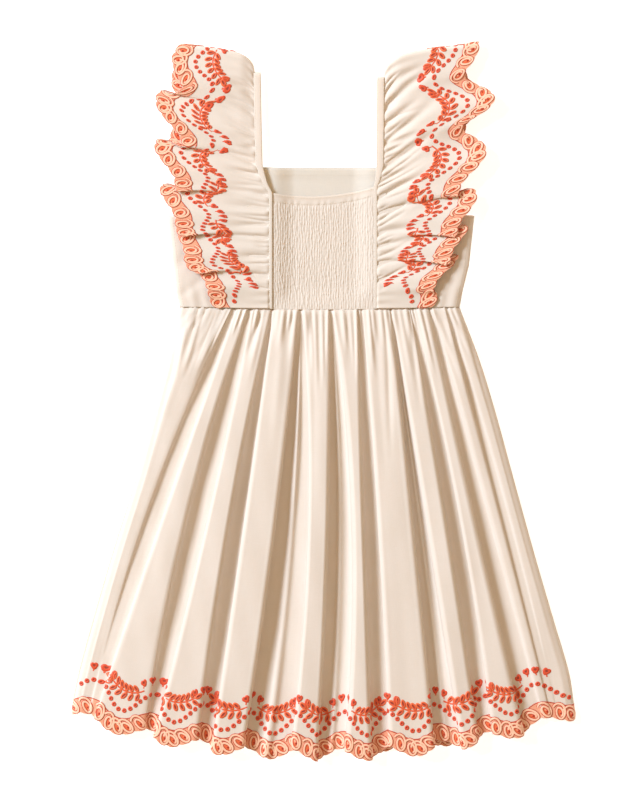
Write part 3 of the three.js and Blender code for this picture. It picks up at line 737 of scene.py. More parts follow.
def makeSideBack(hand):
    way = -1 if hand == "left" else 1
    inner, top = way * 50, bodice["backTop"][hand]
    drop = level["betweenPanels"] - 1.5
    a, b = shareGrid(64, 80)
    q = 1 - b
    outerX, outerY = panelEdge(q, hand, inner + way * 6, top - 1)
    share = a if hand == "left" else 1 - a
    x = mix(outerX, inner, share)
    y = mix(outerY, mix(skirt["waistY"], top, q), share) + overWaist(x, q)
    nearSeam = np.clip(1 - np.abs(x - outerX) / 6, 0, 1) ** 2
    sewn = 1 - smooth(bodice["seamShare"], bodice["seamShare"] + 0.15, q)
    z = backLevel(x, y) - drop * nearSeam * sewn
    points = np.stack([x, y, z], -1)
    creased(
        points,
        [
            (way * 132, 96, way * 100, 120, 0.8, 4),
            (way * 137, 120, way * 112, 150, 0.7, 5),
            (way * 118, 84, way * 124, 112, -0.9, 4),
            (way * 138, 160, way * 118, 168, 0.6, 3),
            (way * 106, 84, way * 112, 104, -0.7, 3),
        ],
    )
    shell = clothShell(points, points[..., :2])
    piece = addPiece(f"bodice_side_back_{hand}_cloth", *shell[:2], [creamPoplin], shell[2])
    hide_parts(f"bodice_side_back_{hand}")
    return piece, points


# the elastic panel: short upright puckers held in by rows of elastic thread, under a plain header
shirring = {
    "puckers": 41,
    "rowPitch": 3.3,
    "header": 8.5,
    "high": 0.6,
    "pucker": 0.68,  # half the width of one
    "long": (2.8, 6.6),
    "unlike": (0.45, 1.15),  # the puckers' heights, as shares of the full one
    "wander": 0.8,
    "lengths": 40,  # more short lengths than any row of puckers holds
    "samples": 400,
    "blend": 15,
    "unpinched": 0.6,  # the share of a pucker's height that the elastic's rows leave
    "columns": 310,
    "rows": 120,
    "under": 1.1,  # how far the panel runs on under the straps
    "seed": 5,
}


def neckline(x):
    heights = bodice["neckBack"]
    share = x / bodice["halfWidth"]
    lean = (heights["right"] - heights["left"]) / 2
    sag = (heights["right"] + heights["left"]) / 2 - heights["middle"]
    return heights["middle"] + lean * share + sag * share**2


def makeShirring():
    rng = np.random.default_rng(shirring["seed"])
    half = bodice["halfWidth"] + shirring["under"]
    a, b = shareGrid(shirring["columns"], shirring["rows"])
    x = mix(-half, half, a)
    top = neckline(x)
    y = mix(top, waistLine(x) + 0.15, b)
    below = top - y
    # each upright row of puckers is broken into short ones of unlike length and height
    puff = np.zeros_like(x)
    deep = float(below.max()) + 6
    pitch = 2 * bodice["halfWidth"] / shirring["puckers"]
    lengths, samples, blend = (shirring[key] for key in ("lengths", "samples", "blend"))
    for k in range(shirring["puckers"]):
        steps = rng.uniform(*shirring["long"], lengths)
        ends = rng.uniform(-6, 2) + np.concatenate([[0], np.cumsum(steps)])
        highs = rng.uniform(*shirring["unlike"], lengths)
        shifts = rng.uniform(-1, 1, lengths) * shirring["wander"]
        fine = np.linspace(0, deep, samples)
        which = np.clip(np.searchsorted(ends, fine) - 1, 0, lengths - 1)
        part = (fine - ends[which]) / steps[which]
        tall = highs[which] * np.abs(np.sin(np.pi * part)) ** 0.5
        wandered = np.convolve(shifts[which], np.full(blend, 1 / blend), "same")
        middle = pitch * (k + 0.5) - bodice["halfWidth"] + wandered
        at = below / fine[1]
        off = x - np.interp(at, np.arange(samples), middle)
        puff = np.maximum(puff, np.interp(at, np.arange(samples), tall) * bell(off, shirring["pucker"]))
    pinch = np.abs(np.sin(np.pi * below / shirring["rowPitch"])) ** 0.5
    field = smooth(shirring["header"] - 1.5, shirring["header"] + 1.5, below)
    edgeFade = smooth(-shirring["under"], 1.2, bodice["halfWidth"] - np.abs(x))
    foot = 1 - 0.4 * smooth(-4, 0, waistLine(x) + 0.15 - y)
    ripple = 0.2 * (1 + np.cos(0.8 * x + 1.5 * np.sin(0.23 * x))) * smooth(2, 8, below)
    z = backLevel(x, y) - 0.25
    held = mix(shirring["unpinched"], 1, pinch)
    z = z + (field * shirring["high"] * puff * held * foot + (1 - field) * ripple) * edgeFade
    z = z + 0.3 * bell(below - 1.2, 1.2) * edgeFade  # the rolled top of the header
    z = z - 0.35 * bell(below - shirring["header"], 0.9) * edgeFade  # the header's stitched foot
    points = np.stack([x, y, z], -1)
    shell = clothShell(points, points[..., :2])
    piece = addPiece("bodice_back_shirred_cloth", *shell[:2], [shirredPoplinShaded], shell[2])
    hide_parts("bodice_back_shirred")
    return piece, points


bodiceFront, bodiceFrontPoints = makeFrontBodice()
sideBacks = {hand: makeSideBack(hand) for hand in ("left", "right")}
shirred, shirredPoints = makeShirring()
print("bodice made")

# The straps: one folded band each, from the back waist over the shoulder to the front neckline
straps = {
    "left": {
        "y": [83.2, 190.6, 199, 216, 250, 299],
        "x": [-48.7, -48.7, -53.8, -59.3, -60.2, -61.1],
        "width": [3.2, 3.2, 4.4, 6.2, 6.4, 6.4],
    },
    "right": {
        "y": [83.2, 196.6, 203, 216, 250, 295],
        "x": [47.9, 47.9, 50, 52, 52.3, 52.6],
        "width": [3.2, 3.2, 4.6, 6.8, 7, 7],
    },
}
strapWay = {
    "rise": 0.75,
    "level": 45,  # the way over which the front of a strap comes down to its height at the shoulder
    "thick": 1.1,
    "across": 9,
    "rows": {"back": 110, "over": 12, "front": 46},
    # folded in and topstitched beside both edges, the band is a little plump between
    "plump": 0.16,
    "stitched": {"deep": 0.14, "at": 0.36, "width": 0.06},
    "flatWidth": 6,
}
shoulder = {"back": 6.4, "front": 1.4}


def strapLine(hand):
    stations = straps[hand]
    topY, topX = stations["y"][-1], stations["x"][-1]
    neckRight = bodice["neckBack"]["right"]
    up = np.linspace(float(waistLine(stations["x"][0])) + 0.15, topY, strapWay["rows"]["back"])
    x = np.interp(up, stations["y"], stations["x"])
    onBack = backLevel(x, np.minimum(up, neckRight)) + strapWay["rise"]
    back = np.stack([x, up, mix(onBack, shoulder["back"], smooth(neckRight, topY, up))], -1)
    radius = (shoulder["back"] - shoulder["front"]) / 2
    turn = np.linspace(0, np.pi, strapWay["rows"]["over"])[1:-1]
    overZ = shoulder["front"] + radius * (1 + np.cos(turn))
    over = np.stack([np.full(len(turn), topX), topY + radius * np.sin(turn), overZ], -1)
    neck = bodice["frontNeck"] + 0.3
    downY = np.linspace(topY, neck, strapWay["rows"]["front"])
    downX = np.interp(downY, stations["y"], stations["x"])
    low = mix(frontLevel(downX, neck), shoulder["front"], smooth(neck, neck + strapWay["level"], downY))
    return np.vstack([back, over, np.stack([downX, downY, low], -1)])


def makeStrap(hand):
    line = strapLine(hand)[::-1]
    ahead = unit(np.gradient(line, axis=0))
    out = unit(np.cross(ahead, [1.0, 0, 0]))
    width = np.interp(line[:, 1], straps[hand]["y"], straps[hand]["width"])
    side = np.linspace(-0.5, 0.5, strapWay["across"])
    points = line[:, None, :] + (side[None, :] * width[:, None])[..., None] * [1, 0, 0]
    stitched = strapWay["stitched"]
    plump = strapWay["plump"] * np.cos(np.pi * side * 0.98) ** 0.6
    plump = plump - stitched["deep"] * bell(np.abs(side) - stitched["at"], stitched["width"])
    points = points + out[:, None, :] * plump[None, :, None]
    run = runLength(line)
    uv = np.stack(np.broadcast_arrays(side[None, :] * strapWay["flatWidth"], run[:, None]), -1)
    shell = clothShell(points, uv, thick=strapWay["thick"])
    piece = addPiece(f"strap_{hand}_cloth", *shell[:2], [creamPoplin], shell[2])
    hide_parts(f"strap_{hand}")
    return piece, points


strapPieces = {hand: makeStrap(hand) for hand in ("left", "right")}
print("straps made")

# The ruffles: one gathered strip each, from the back waist over the shoulder to the front waist
ruffles = {
    "left": {
        "side": -1,
        # the middle line of its waving edge, from the waist up
        "edge": [
            (-94, 84.6),
            (-107, 106),
            (-123, 134),
            (-137, 178),
            (-140, 224),
            (-141, 268),
            (-137, 304),
            (-132, 324),
        ],
        # shares of the way up where one flute runs under the next, and for each of these places: how far
        # the cloth runs back under, the share of a flute by which its swing follows that, and how far the
        # flute's foot is drawn in while the next one's top stands out
        "valleys": [0.03, 0.155, 0.31, 0.48, 0.64, 0.83],
        "overlap": [6, 10, 12, 11, 12, 13],
        "lag": [0.1, 0.15, 0.16, 0.16, 0.1, -0.05],
        "swing": [3, 7, 8, 8, 8.5, 10],
        "scallopPhase": 0.9,
        "rise": 11,
        "tucks": {"seed": 21, "lean": 0.04},
    },
    "right": {
        "side": 1,
        "edge": [
            (94, 84.6),
            (104, 106),
            (118, 136),
            (127, 174),
            (133, 220),
            (142, 268),
            (139, 302),
            (137, 324),
        ],
        "valleys": [0.063, 0.2, 0.305, 0.443, 0.7, 0.9],
        "overlap": [7, 11, 12, 12, 3, 3],
        "lag": [0.15, 0.15, 0.18, 0.2, 0.22, 0.22],
        "swing": [4, 6, 7, 7.5, 8.5, 7],
        "scallopPhase": 0.91,
        "rise": 13,
        "tucks": {"seed": 22, "lean": 0.12},
    },
}
ruffle = {
    "high": 2.3,  # half of how far a flute rises out of the valley beside it
    "arch": 2.4,  # and what its middle has on top of that
    "turned": 0.19,  # the share of a flute that runs back under
    "lastTurn": 1.2,  # where the flute over the topmost one would end
    "narrowest": 50,
    "free": (0.14, 0.88),  # the flutes stand up in full between these shares of the way up
    "gathers": 24,
    "gatherHigh": 0.4,
    "gathersFor": 0.3,  # the share of the width over which they fade out
    "creaseDepth": 1.7,
    "tucks": 30,
    "overBack": 1.65,  # the strip's height over the panel or strap that it lies on
    "loosens": 100,  # past the back's neckline the strip comes up to the strap's height over this way
    "sag": 0.8,
    "sags": (188, 298),
    "frontHigh": 2.1,
    "frontInset": 5,
    "beyondStrap": -1.1,  # the seam lies inside the strap
    "fold": 0.02,
    "columns": (440, 20, 180),  # on the back, round the shoulder and on the front
    "rows": 46,
    "fine": (640, 26, 420, 88),  # the surface it is read from: on the back, over, on the front, outwards
    "runsOn": 1.16,  # that surface goes this far out, for the scallops
}
# creases that run out from the seam: share of the way up, length share, depth, width, slant
ruffleCreases = {
    "left": [
        (0.14, 0.5, 1.2, 0.012, 0.02),
        (0.22, 0.55, 1.4, 0.012, 0.02),
        (0.3, 0.6, 1.3, 0.01, 0.03),
        (0.36, 0.6, 1.5, 0.012, 0.0),
        (0.43, 0.5, 1.0, 0.012, 0.02),
        (0.49, 0.7, 1.4, 0.012, 0.03),
        (0.56, 0.5, 0.9, 0.014, 0.06),
        (0.62, 0.7, 1.3, 0.012, 0.1),
        (0.69, 0.35, 0.8, 0.012, 0.08),
        (0.75, 0.5, 1.0, 0.012, 0.1),
        (0.82, 0.4, 0.8, 0.012, 0.08),
        (0.88, 0.5, 1.0, 0.014, 0.1),
    ],
    "right": [
        (0.12, 0.5, 1.2, 0.012, 0.02),
        (0.2, 0.55, 1.4, 0.012, 0.02),
        (0.27, 0.4, 1.2, 0.01, 0.03),
        (0.33, 0.6, 1.5, 0.012, 0.04),
        (0.41, 0.6, 1.3, 0.012, 0.06),
        (0.48, 0.6, 1.5, 0.013, 0.16),
        (0.55, 0.5, 1.2, 0.012, 0.14),
        (0.61, 0.7, 1.7, 0.014, 0.18),
        (0.67, 0.4, 1.2, 0.01, 0.14),
        (0.72, 0.65, 1.7, 0.013, 0.2),
        (0.79, 0.45, 1.2, 0.01, 0.14),
        (0.85, 0.7, 1.8, 0.014, 0.16),
        (0.91, 0.6, 1.3, 0.012, 0.1),
    ],
}


def ruffleEdgeTable(hand):
    points = np.array(ruffles[hand]["edge"], float)
    line = curveThrough(points, np.linspace(0, len(points) - 1, 400))
    run = runLength(line)
    return run / run[-1], line, unit(np.gradient(line, axis=0))


edgeTables = {hand: ruffleEdgeTable(hand) for hand in ruffles}


def smallTucks(hand):
    # short fine tucks between the main creases, like them in form
    rng = np.random.default_rng(ruffles[hand]["tucks"]["seed"])
    count, lean = ruffle["tucks"], ruffles[hand]["tucks"]["lean"]
    rows = []
    for k in range(count):
        at = 0.06 + 0.88 * (k + rng.uniform(0.1, 0.9)) / count
        long, depth = rng.uniform(0.12, 0.6), rng.uniform(0.4, 1.1)
        rows.append((at, long, depth, rng.uniform(0.005, 0.008), lean * rng.uniform(0, 2)))
    return rows


tucks = {hand: smallTucks(hand) for hand in ruffles}


def ruffleSurface(hand, s, w):
    # s runs from the back waist over the shoulder to the front waist, w from the seam outwards
    one, stations = ruffles[hand], straps[hand]
    s, w = np.broadcast_arrays(np.asarray(s, float), np.asarray(w, float))
    side, onBack = one["side"], s < 0.5
    q = np.clip(np.where(onBack, s, 1 - s) / (0.5 - ruffle["fold"]), 0, 1)
    seamY = mix(float(waistLine(stations["x"][0])) + 0.9, stations["y"][-1], q)
    seamX = np.interp(seamY, stations["y"], stations["x"])
    seamX = seamX + side * (np.interp(seamY, stations["y"], stations["width"]) / 2 + ruffle["beyondStrap"])
    shares, line, aheads = edgeTables[hand]
    atX, atY = (np.interp(q, shares, line[:, k]) for k in (0, 1))
    aheadX, aheadY = (np.interp(q, shares, aheads[:, k]) for k in (0, 1))
    free = smooth(0, ruffle["free"][0], q) * (1 - smooth(ruffle["free"][1], 1, q))
    valleys = np.array(one["valleys"])
    count = np.arange(len(valleys))
    # each valley lies half a turn on from a flute's middle
    turnAt = [2 * valleys[0] - valleys[1], *valleys, ruffle["lastTurn"]]
    turn = np.interp(q, turnAt, [-0.5, *(count + 0.5), len(valleys) + 0.5])
    overlap, reach, lag = (np.interp(turn - 0.5, count, one[key]) for key in ("overlap", "swing", "lag"))
    g = (turn % 1) - 0.5  # 0 in the middle of the part that runs back under
    inner = np.clip(w, 0, None)
    shift = np.where(onBack, overlap * inner**1.7 * free * np.sin(2 * np.pi * turn), 0)
    inset = np.where(onBack, 0, ruffle["frontInset"] * inner * smooth(0, 0.2, q))
    cut = ruffle["turned"]
    saw = np.where(
        np.abs(g) < cut,
        np.sin(np.pi / 2 * g / cut),
        np.sign(g) * np.cos(np.pi / 2 * (np.abs(g) - cut) / (0.5 - cut)),
    )
    swing = np.where(onBack, -reach * np.sin(2 * np.pi * (g + lag)), 0) * free
    out = swing * inner**2 - inset
    bow = one["rise"] * np.sin(np.pi * np.minimum(inner, 1) ** 0.45) * smooth(0.7, 1, q)
    downwards = -0.4 * np.abs(aheadX) * (1 - smooth(0.75, 1, q))
    x = mix(seamX, atX, w) + side * np.abs(aheadY) * out + aheadX * shift
    y = mix(seamY, atY, w) + downwards * out + aheadY * shift + bow
    wave = ruffle["high"] * (1 + saw) + ruffle["arch"] * smooth(0.28, 0.5, np.abs(g))
    flutes = 0.5 + 0.5 * np.cos(2 * np.pi * turn)
    gathers = np.cos(2 * np.pi * ruffle["gathers"] * q + 1.4 * np.sin(19 * q))
    gather = ruffle["gatherHigh"] * (1 + gathers * bell(inner, ruffle["gathersFor"]))
    trough = np.zeros_like(q)
    for at, long, depth, width, slant in ruffleCreases[hand] + tucks[hand]:
        taper = smooth(-0.02, 0.05, w) * (1 - smooth(0.3 * long, long, w))
        trough += depth * taper * bell(q - at - slant * w, width * (1 + w))
    neckRight = bodice["neckBack"]["right"]
    loose = smooth(neckRight, neckRight + ruffle["loosens"], seamY)
    onStrap = backLevel(seamX, np.minimum(seamY, neckRight))
    onSide = backLevel(bodice["rampTo"], y)
    rests = mix(mix(onStrap, shoulder["back"] - 1, loose), onSide, smooth(0, 0.2, w))
    sag = ruffle["sag"] * smooth(*ruffle["sags"], y)
    risen = ruffle["overBack"] + gather - trough * ruffle["creaseDepth"]
    back = rests + mix(0.5, risen, smooth(0, 0.04, w)) + inner**1.3 * wave * free - sag
    front = level["floor"] + gather / 2 + ruffle["frontHigh"] * smooth(0, 0.5, w) * flutes * free
    overTurn = np.pi * (s - 0.5 + ruffle["fold"]) / (2 * ruffle["fold"])
    radius = (back - front) / 2
    over = q >= 1
    z = np.where(over, front + radius * (1 + np.cos(overTurn)), np.where(onBack, back, front))
    y = np.where(over, y + radius * np.sin(overTurn), y)
    y = np.maximum(y, waistLine(x) + 0.4)
    return np.stack([x, y, np.maximum(z, table["lowestCloth"])], -1)


def ruffleGrid(hand):
    # a fine grid of the strip, with flat distances along its edge and its width at each place
    start, stop = 0.5 - ruffle["fold"], 0.5 + ruffle["fold"]
    back, over, front, outwards = ruffle["fine"]
    overShoulder = np.linspace(start, stop, over)[1:-1]
    s = np.concatenate([np.linspace(0, start, back), overShoulder, np.linspace(stop, 1, front)])
    w = np.linspace(0, ruffle["runsOn"], outwards)
    points = ruffleSurface(hand, s[None, :], w[:, None])
    edge = ruffleSurface(hand, s, np.ones_like(s))
    seam = ruffleSurface(hand, s, np.zeros_like(s))
    width = np.maximum(np.linalg.norm((edge - seam)[:, :2], axis=1), ruffle["narrowest"])
    return {"s": s, "w": w, "points": points, "run": runLength(edge), "width": width}


def makeRuffle(hand, grid):
    turned = ruffles[hand]["side"] < 0
    counts, rows = ruffle["columns"], ruffle["rows"]
    places, run = np.arange(len(grid["s"])), grid["run"]
    stops = np.interp([0, 0.5 - ruffle["fold"], 0.5 + ruffle["fold"], 1], grid["s"], run)
    even = [np.linspace(a, b, n, endpoint=False) for a, b, n in zip(stops, stops[1:], counts)]
    columns = np.interp(np.append(np.concatenate(even), run[-1]), run, places)
    flat, width = (np.interp(columns, places, grid[k]) for k in ("run", "width"))
    share = np.linspace(0, 1, rows)[:, None]
    fall = scallopEdge(flat, ruffles[hand]["scallopPhase"], scallop["curl"]) / width
    w = share * (1 + fall[None, :] * share**6)
    points = readGrid(grid["points"], w / grid["w"][1], np.broadcast_to(columns, w.shape))
    uv = np.stack(np.broadcast_arrays(flat[None, :], w * width[None, :]), -1)
    shell = clothShell(points, uv, turned)
    piece = addPiece(f"ruffle_{hand}_cloth", *shell[:2], [creamPoplin], shell[2])
    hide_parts(f"ruffle_{hand}")
    return piece, points


ruffleGrids = {hand: ruffleGrid(hand) for hand in ruffles}
rufflePieces = {hand: makeRuffle(hand, ruffleGrids[hand]) for hand in ruffles}
print("ruffles made, edges", [round(grid["run"][-1]) for grid in ruffleGrids.values()])

# The embroidery: motifs modelled once, flat and in millimetres, then copied along each border
border = {
    "start": 0.24,  # the stitches start this far over the middle of the cloth, just above its face
    "curlBand": 2.85,
    "curlLean": 0.32,  # the loops lean back along the edge
    "curlOutline": 0.62,
    "curlHigh": 0.5,
    "curlMiddle": (0.2, 5.3),  # from a curl's foot along the edge and inwards
    "eyelet": (0.55, 4.2),
    "eyeletScale": 1.05,
    "ground": {"outside": 0.15, "high": 0.12, "step": 1.6},  # the filled ground under the curls
    "hearts": ((-1.5, -2.5), (-0.5, 1.5), (0.5, 1.5), (1.5, -2.5)),  # steps aside from the top, and up
    "heartTurn": 0.45,
    "heartStem": (5.5, 3),
    "sprigBow": 6.5,
    "sprigLean": 0.1,
    "leafPairs": 6,
    "leafTurns": (2.2, 0.95),  # towards the base or the tip, as the sprig points
}
# what both borders share; heights are measured inwards from the scallops' base line
bothBorders = {
    "curl": scallop["curl"],
    "curlScale": 1.04,
    "topLine": 13.4,
    "sprigLong": 38,
    "leafScale": 1.16,
    "leafReach": 5.1,
}
borderSizes = {
    "hem": {
        **bothBorders,
        "dotScale": 1.06,
        "dotPitch": 6.1,
        "dotLine": 26,
        "dotWave": 10.5,
        "sprig": 33.5,
        "buds": 48,
        "budStep": 8.8,
        "budScale": 0.88,
    },
    "ruffle": {
        **bothBorders,
        "dotScale": 1.05,
        "dotPitch": 6,
        "dotLine": 25.5,
        "dotWave": 9.5,
        "sprig": 33,
        "buds": 46.5,
        "budStep": 8.6,
        "budScale": 0.92,
    },
}


def takeMotif(groups):
    # reads the active object as flat points, faces and a thread for each face, and removes it
    piece = bpy.context.object
    points = np.array([v.co for v in piece.data.vertices], float)
    faces = [list(p.vertices) for p in piece.data.polygons]
    thread = [groups(np.mean(points[face], axis=0)) for face in faces]
    bpy.data.objects.remove(piece, do_unlink=True)
    return points, faces, thread


def domedShape(vertices, radius, stretch, insets):
    # a filled outline, inset and lifted step by step into a plump stitched shape
    bpy.ops.mesh.primitive_circle_add(vertices=vertices, radius=radius, fill_type="NGON", location=(0, 0, 0))
    bpy.ops.object.mode_set(mode="EDIT")
    bpy.ops.mesh.select_all(action="SELECT")
    bpy.ops.transform.resize(value=(stretch, 1, 1))
    for thickness, lift in insets:
        bpy.ops.mesh.inset(thickness=thickness)
        bpy.ops.transform.translate(value=(0, 0, lift))
    bpy.ops.object.mode_set(mode="OBJECT")


def eyed(radius):
    # red stitches round a dark middle, painted as the shade of a small eyelet hole
    return lambda centre: dark if math.hypot(centre[0], centre[1]) < radius else red


def leafThread(centre):
    out = math.hypot(centre[0] / 2, centre[1])
    if out < 0.4:
        return dark
    return red if out < 1.3 else orange


domedShape(12, 2.15, 1, [(0.3, 0.45), (0.75, 0.1), (0.4, -0.4)])
dotMotif = takeMotif(eyed(0.5))
domedShape(12, 2.15, 1.75, [(0.35, 0.5), (0.7, 0.2), (0.4, -0.3)])
leafMotif = takeMotif(leafThread)
domedShape(10, 1, 1, [(0.2, 0.35), (0.25, 0.1)])
eyeletMotif = takeMotif(eyed(0.3))
domedShape(14, 3.9, 1.05, [(0.5, 0.5), (1.2, 0.2), (0.9, -0.3)])
budMotif = takeMotif(eyed(0.8))
domedShape(14, 3.7, 1, [(0.8, 0.1)])
curlFill = takeMotif(lambda centre: orange)


def heartShaped(motif):
    # pinches a round motif to a point below and notches it above
    points = motif[0].copy()
    angle = np.arctan2(points[:, 1], points[:, 0])
    fromPoint = np.abs(angle + np.pi / 2)
    notch = 1 - 0.42 * bell(np.abs(angle - np.pi / 2), 0.45)
    point = 1 + 0.28 * bell(fromPoint, 0.5) - 0.12 * bell(np.abs(fromPoint - 0.95), 0.4)
    points[:, :2] *= (notch * point)[:, None]
    return (points, *motif[1:])


heartMotif = heartShaped(budMotif)


def stitchBand(path, width, outline, crown, high=0.5, lift=0.0):
    # a satin band along a flat path, with an outline's thread on each side and a crown's between
    path = np.asarray(path, float)
    ahead = unit(np.gradient(path, axis=0))
    aside = np.stack([-ahead[:, 1], ahead[:, 0]], -1)
    rim = min(border["curlOutline"], width * 0.3)
    offsets = np.array([-width / 2, -width / 2 + rim, 0, width / 2 - rim, width / 2])
    heights = np.array([0, 0.7, 1, 0.7, 0]) * high + lift
    count = len(offsets)
    flat = path[:, None, :] + aside[:, None, :] * offsets[None, :, None]
    points = np.concatenate([flat, np.broadcast_to(heights[None, :, None], (*flat.shape[:2], 1))], -1)
    index = np.arange(len(path) * count).reshape(len(path), count)
    quads = np.stack([index[:-1, :-1], index[1:, :-1], index[1:, 1:], index[:-1, 1:]], -1)
    quads = quads[..., ::-1]
    thread = np.broadcast_to(np.array([outline, crown, crown, outline]), quads.shape[:2])
    return points.reshape(-1, 3), quads.reshape(-1, 4).tolist(), thread.ravel().tolist()


def curlMotif():
    # one curl: a band that comes in along the top, goes round and winds into a ring about its eyelet
    degrees = np.array([165, 135, 100, 60, 20, -100, -140, -180, -215, -250, -290, -330, -370, -410, -450])
    radius = np.array([8.8, 7, 5.8, 5.2, 5, 5, 4.9, 4.7, 4.3, 3.7, 3, 2.5, 2.3, 2.25, 2.25])
    fine = np.linspace(degrees[0], degrees[-1], 40)
    r = np.interp(-fine, -degrees, radius)
    inner = smooth(180, 330, -fine)
    angle = np.radians(fine)
    across, up = (mix(*ends, inner) for ends in zip(border["curlMiddle"], border["eyelet"]))
    path = np.stack([across + 0.8 * r * np.cos(angle), up + mix(1.15, 1.05, inner) * r * np.sin(angle)], -1)
    path[:, 0] -= border["curlLean"] * (path[:, 1] - 5)
    return stitchBand(path, border["curlBand"], brick, peach, border["curlHigh"], 0.32)


curl = curlMotif()


def placed(motif, at, turn=0.0, scale=1.0, lift=0.0, mirror=1):
    points = motif[0] * [scale * mirror, scale, scale]
    c, s = math.cos(turn), math.sin(turn)
    flat = points[:, :2] @ np.array([[c, s], [-s, c]]) + at
    faces = motif[1] if mirror > 0 else [face[::-1] for face in motif[1]]
    return np.column_stack([flat, points[:, 2] + lift]), faces, motif[2]


def borderParts(long, phase, size, mirror=1, clear=7, ends=0.5):
    # every stitched part of a border, in flat distances along the edge and inwards from its base line
    pitch, rise, ground = scallop["pitch"], scallop["rise"], border["ground"]

    def wave(s):
        return np.cos(2 * np.pi * (s / pitch + phase))

    def tilt(s):
        return math.atan(2 * math.pi / pitch * rise * math.sin(2 * math.pi * (s / pitch + phase)))

    parts = {"edge": [], "field": []}
    line = np.linspace(ends, long - ends, int(long / ground["step"]))
    # the pale filled ground of the edge, between the curls' outer rim and the outline over them
    outer = -scallopEdge(line, phase, size["curl"]) + ground["outside"]
    inner = size["topLine"] - rise * wave(line)
    height = np.full_like(line, ground["high"])
    strip = np.stack([np.column_stack([line, mix(outer, inner, share), height]) for share in (0, 0.5, 1)])
    index = np.arange(strip[..., 0].size).reshape(3, -1)
    quads = np.stack([index[:-1, :-1], index[:-1, 1:], index[1:, 1:], index[1:, :-1]], -1).reshape(-1, 4)
    parts["edge"].append((strip.reshape(-1, 3), quads.tolist(), [pink] * len(quads)))
    parts["edge"].append(stitchBand(np.column_stack([line, inner + 0.1]), 1.0, brick, brick, 0.35, 0.1))
    scale = size["curlScale"]
    for k in range(int(long / size["curl"])):
        s = (k + 0.5) * size["curl"]
        if not ends + 3 < s < long - ends - 3:
            continue
        turn = tilt(s)
        out = np.array([-math.sin(turn), math.cos(turn)]) * scale
        aside = np.array([math.cos(turn), math.sin(turn)]) * mirror * scale
        foot = np.array([s, -rise * float(wave(s))])
        spots = (border["curlMiddle"], border["eyelet"])
        middle, eyelet = (foot + out * up + aside * across for across, up in spots)
        parts["edge"].append(placed(curlFill, middle, turn, scale, 0.2))
        parts["edge"].append(placed(curl, foot, turn, scale, 0.03 * (k % 2), mirror))
        parts["edge"].append(placed(eyeletMotif, eyelet, 0, border["eyeletScale"] * scale, 0.4))
    # the dots follow a deeper wave, evenly spaced along it
    fine = np.linspace(clear - 3, long - clear + 3, int(long * 2))
    dots = np.column_stack([fine, size["dotLine"] - size["dotWave"] * wave(fine)])
    run = runLength(dots)
    for k, at in enumerate(np.arange(size["dotPitch"] / 2, run[-1], size["dotPitch"])):
        place = (np.interp(at, run, dots[:, 0]), np.interp(at, run, dots[:, 1]))
        parts["field"].append(placed(dotMotif, place, 0.3 * k, size["dotScale"]))
    # a sprig hangs in each low of that wave and four hearts stand round each high
    for k in range(math.ceil(phase - 0.2), int(long / pitch + phase) + 1):
        low = (k - phase) * pitch
        if 7 + clear < low < long - 7 - clear:
            parts["field"] += sprigParts(low, -1 if k % 2 else 1, size)
        for step, up in border["hearts"]:
            s = low + pitch / 2 + step * size["budStep"]
            if clear < s < long - clear:
                parts["field"] += heartParts(s, size["buds"] + up, step, size)
    return parts


def heartParts(s, height, step, size):
    # a heart and the short stem under it
    stemFoot, stemTop = (height - under for under in border["heartStem"])
    stem = np.column_stack([np.full(3, s - step * 0.6), np.linspace(stemFoot, stemTop, 3)])
    heart = placed(heartMotif, (s, height), -border["heartTurn"] * step, size["budScale"])
    return [heart, stitchBand(stem, 1.3, red, orange, 0.35)]


def sprigParts(low, way, size):
    # a leafy sprig that hangs in the trough of the dot line
    half, bow, lean = size["sprigLong"] / 2, border["sprigBow"], way * border["sprigLean"]
    pairs = border["leafPairs"]

    def stemHeight(a):
        return size["sprig"] + bow * (a / half) ** 2 + lean * a

    a = np.linspace(-half, half, 12)
    parts = [stitchBand(np.column_stack([low + a, stemHeight(a)]), 1.5, red, orange, 0.4)]
    for k in range(pairs):
        at = mix(-half + 3.5, half - 5, k / (pairs - 1))
        slope = math.atan(2 * bow * at / half**2 + lean)
        for hand in (-1, 1):
            turn = slope + hand * border["leafTurns"][way > 0]
            reach = size["leafReach"]
            place = (low + at + reach * math.cos(turn), stemHeight(at) + reach * math.sin(turn))
            parts.append(placed(leafMotif, place, turn, size["leafScale"] * (1 - 0.03 * abs(k - 2.5))))
    tip = way * (half + 2.2)
    slope = math.atan(2 * bow * tip / half**2)
    parts.append(placed(leafMotif, (low + tip, size["sprig"] + 7 + lean * tip), slope, size["leafScale"]))
    return parts


def sewn(name, parts, surface, wrongSide=()):
    # lays flat stitched parts on a cloth: surface gives the place and the outward direction
    points, faces, thread, start = [], [], [], 0
    for group, way in [(parts, 1), (wrongSide, -1)]:
        for flat, groupFaces, groupThread in group:
            on, out = surface(flat[:, 0], flat[:, 1])
            points.append(np.column_stack([on + out * way * (flat[:, 2:] + border["start"]), flat[:, :2]]))
            faces += [[i + start for i in (face if way > 0 else face[::-1])] for face in groupFaces]
            thread += list(groupThread)
            start += len(flat)
    joined = np.vstack(points)
    joined[:, 2] = np.maximum(joined[:, 2], table["lowestFace"])
    return addPiece(name, joined[:, :3], faces, borderMaterials, joined[:, 3:], thread)


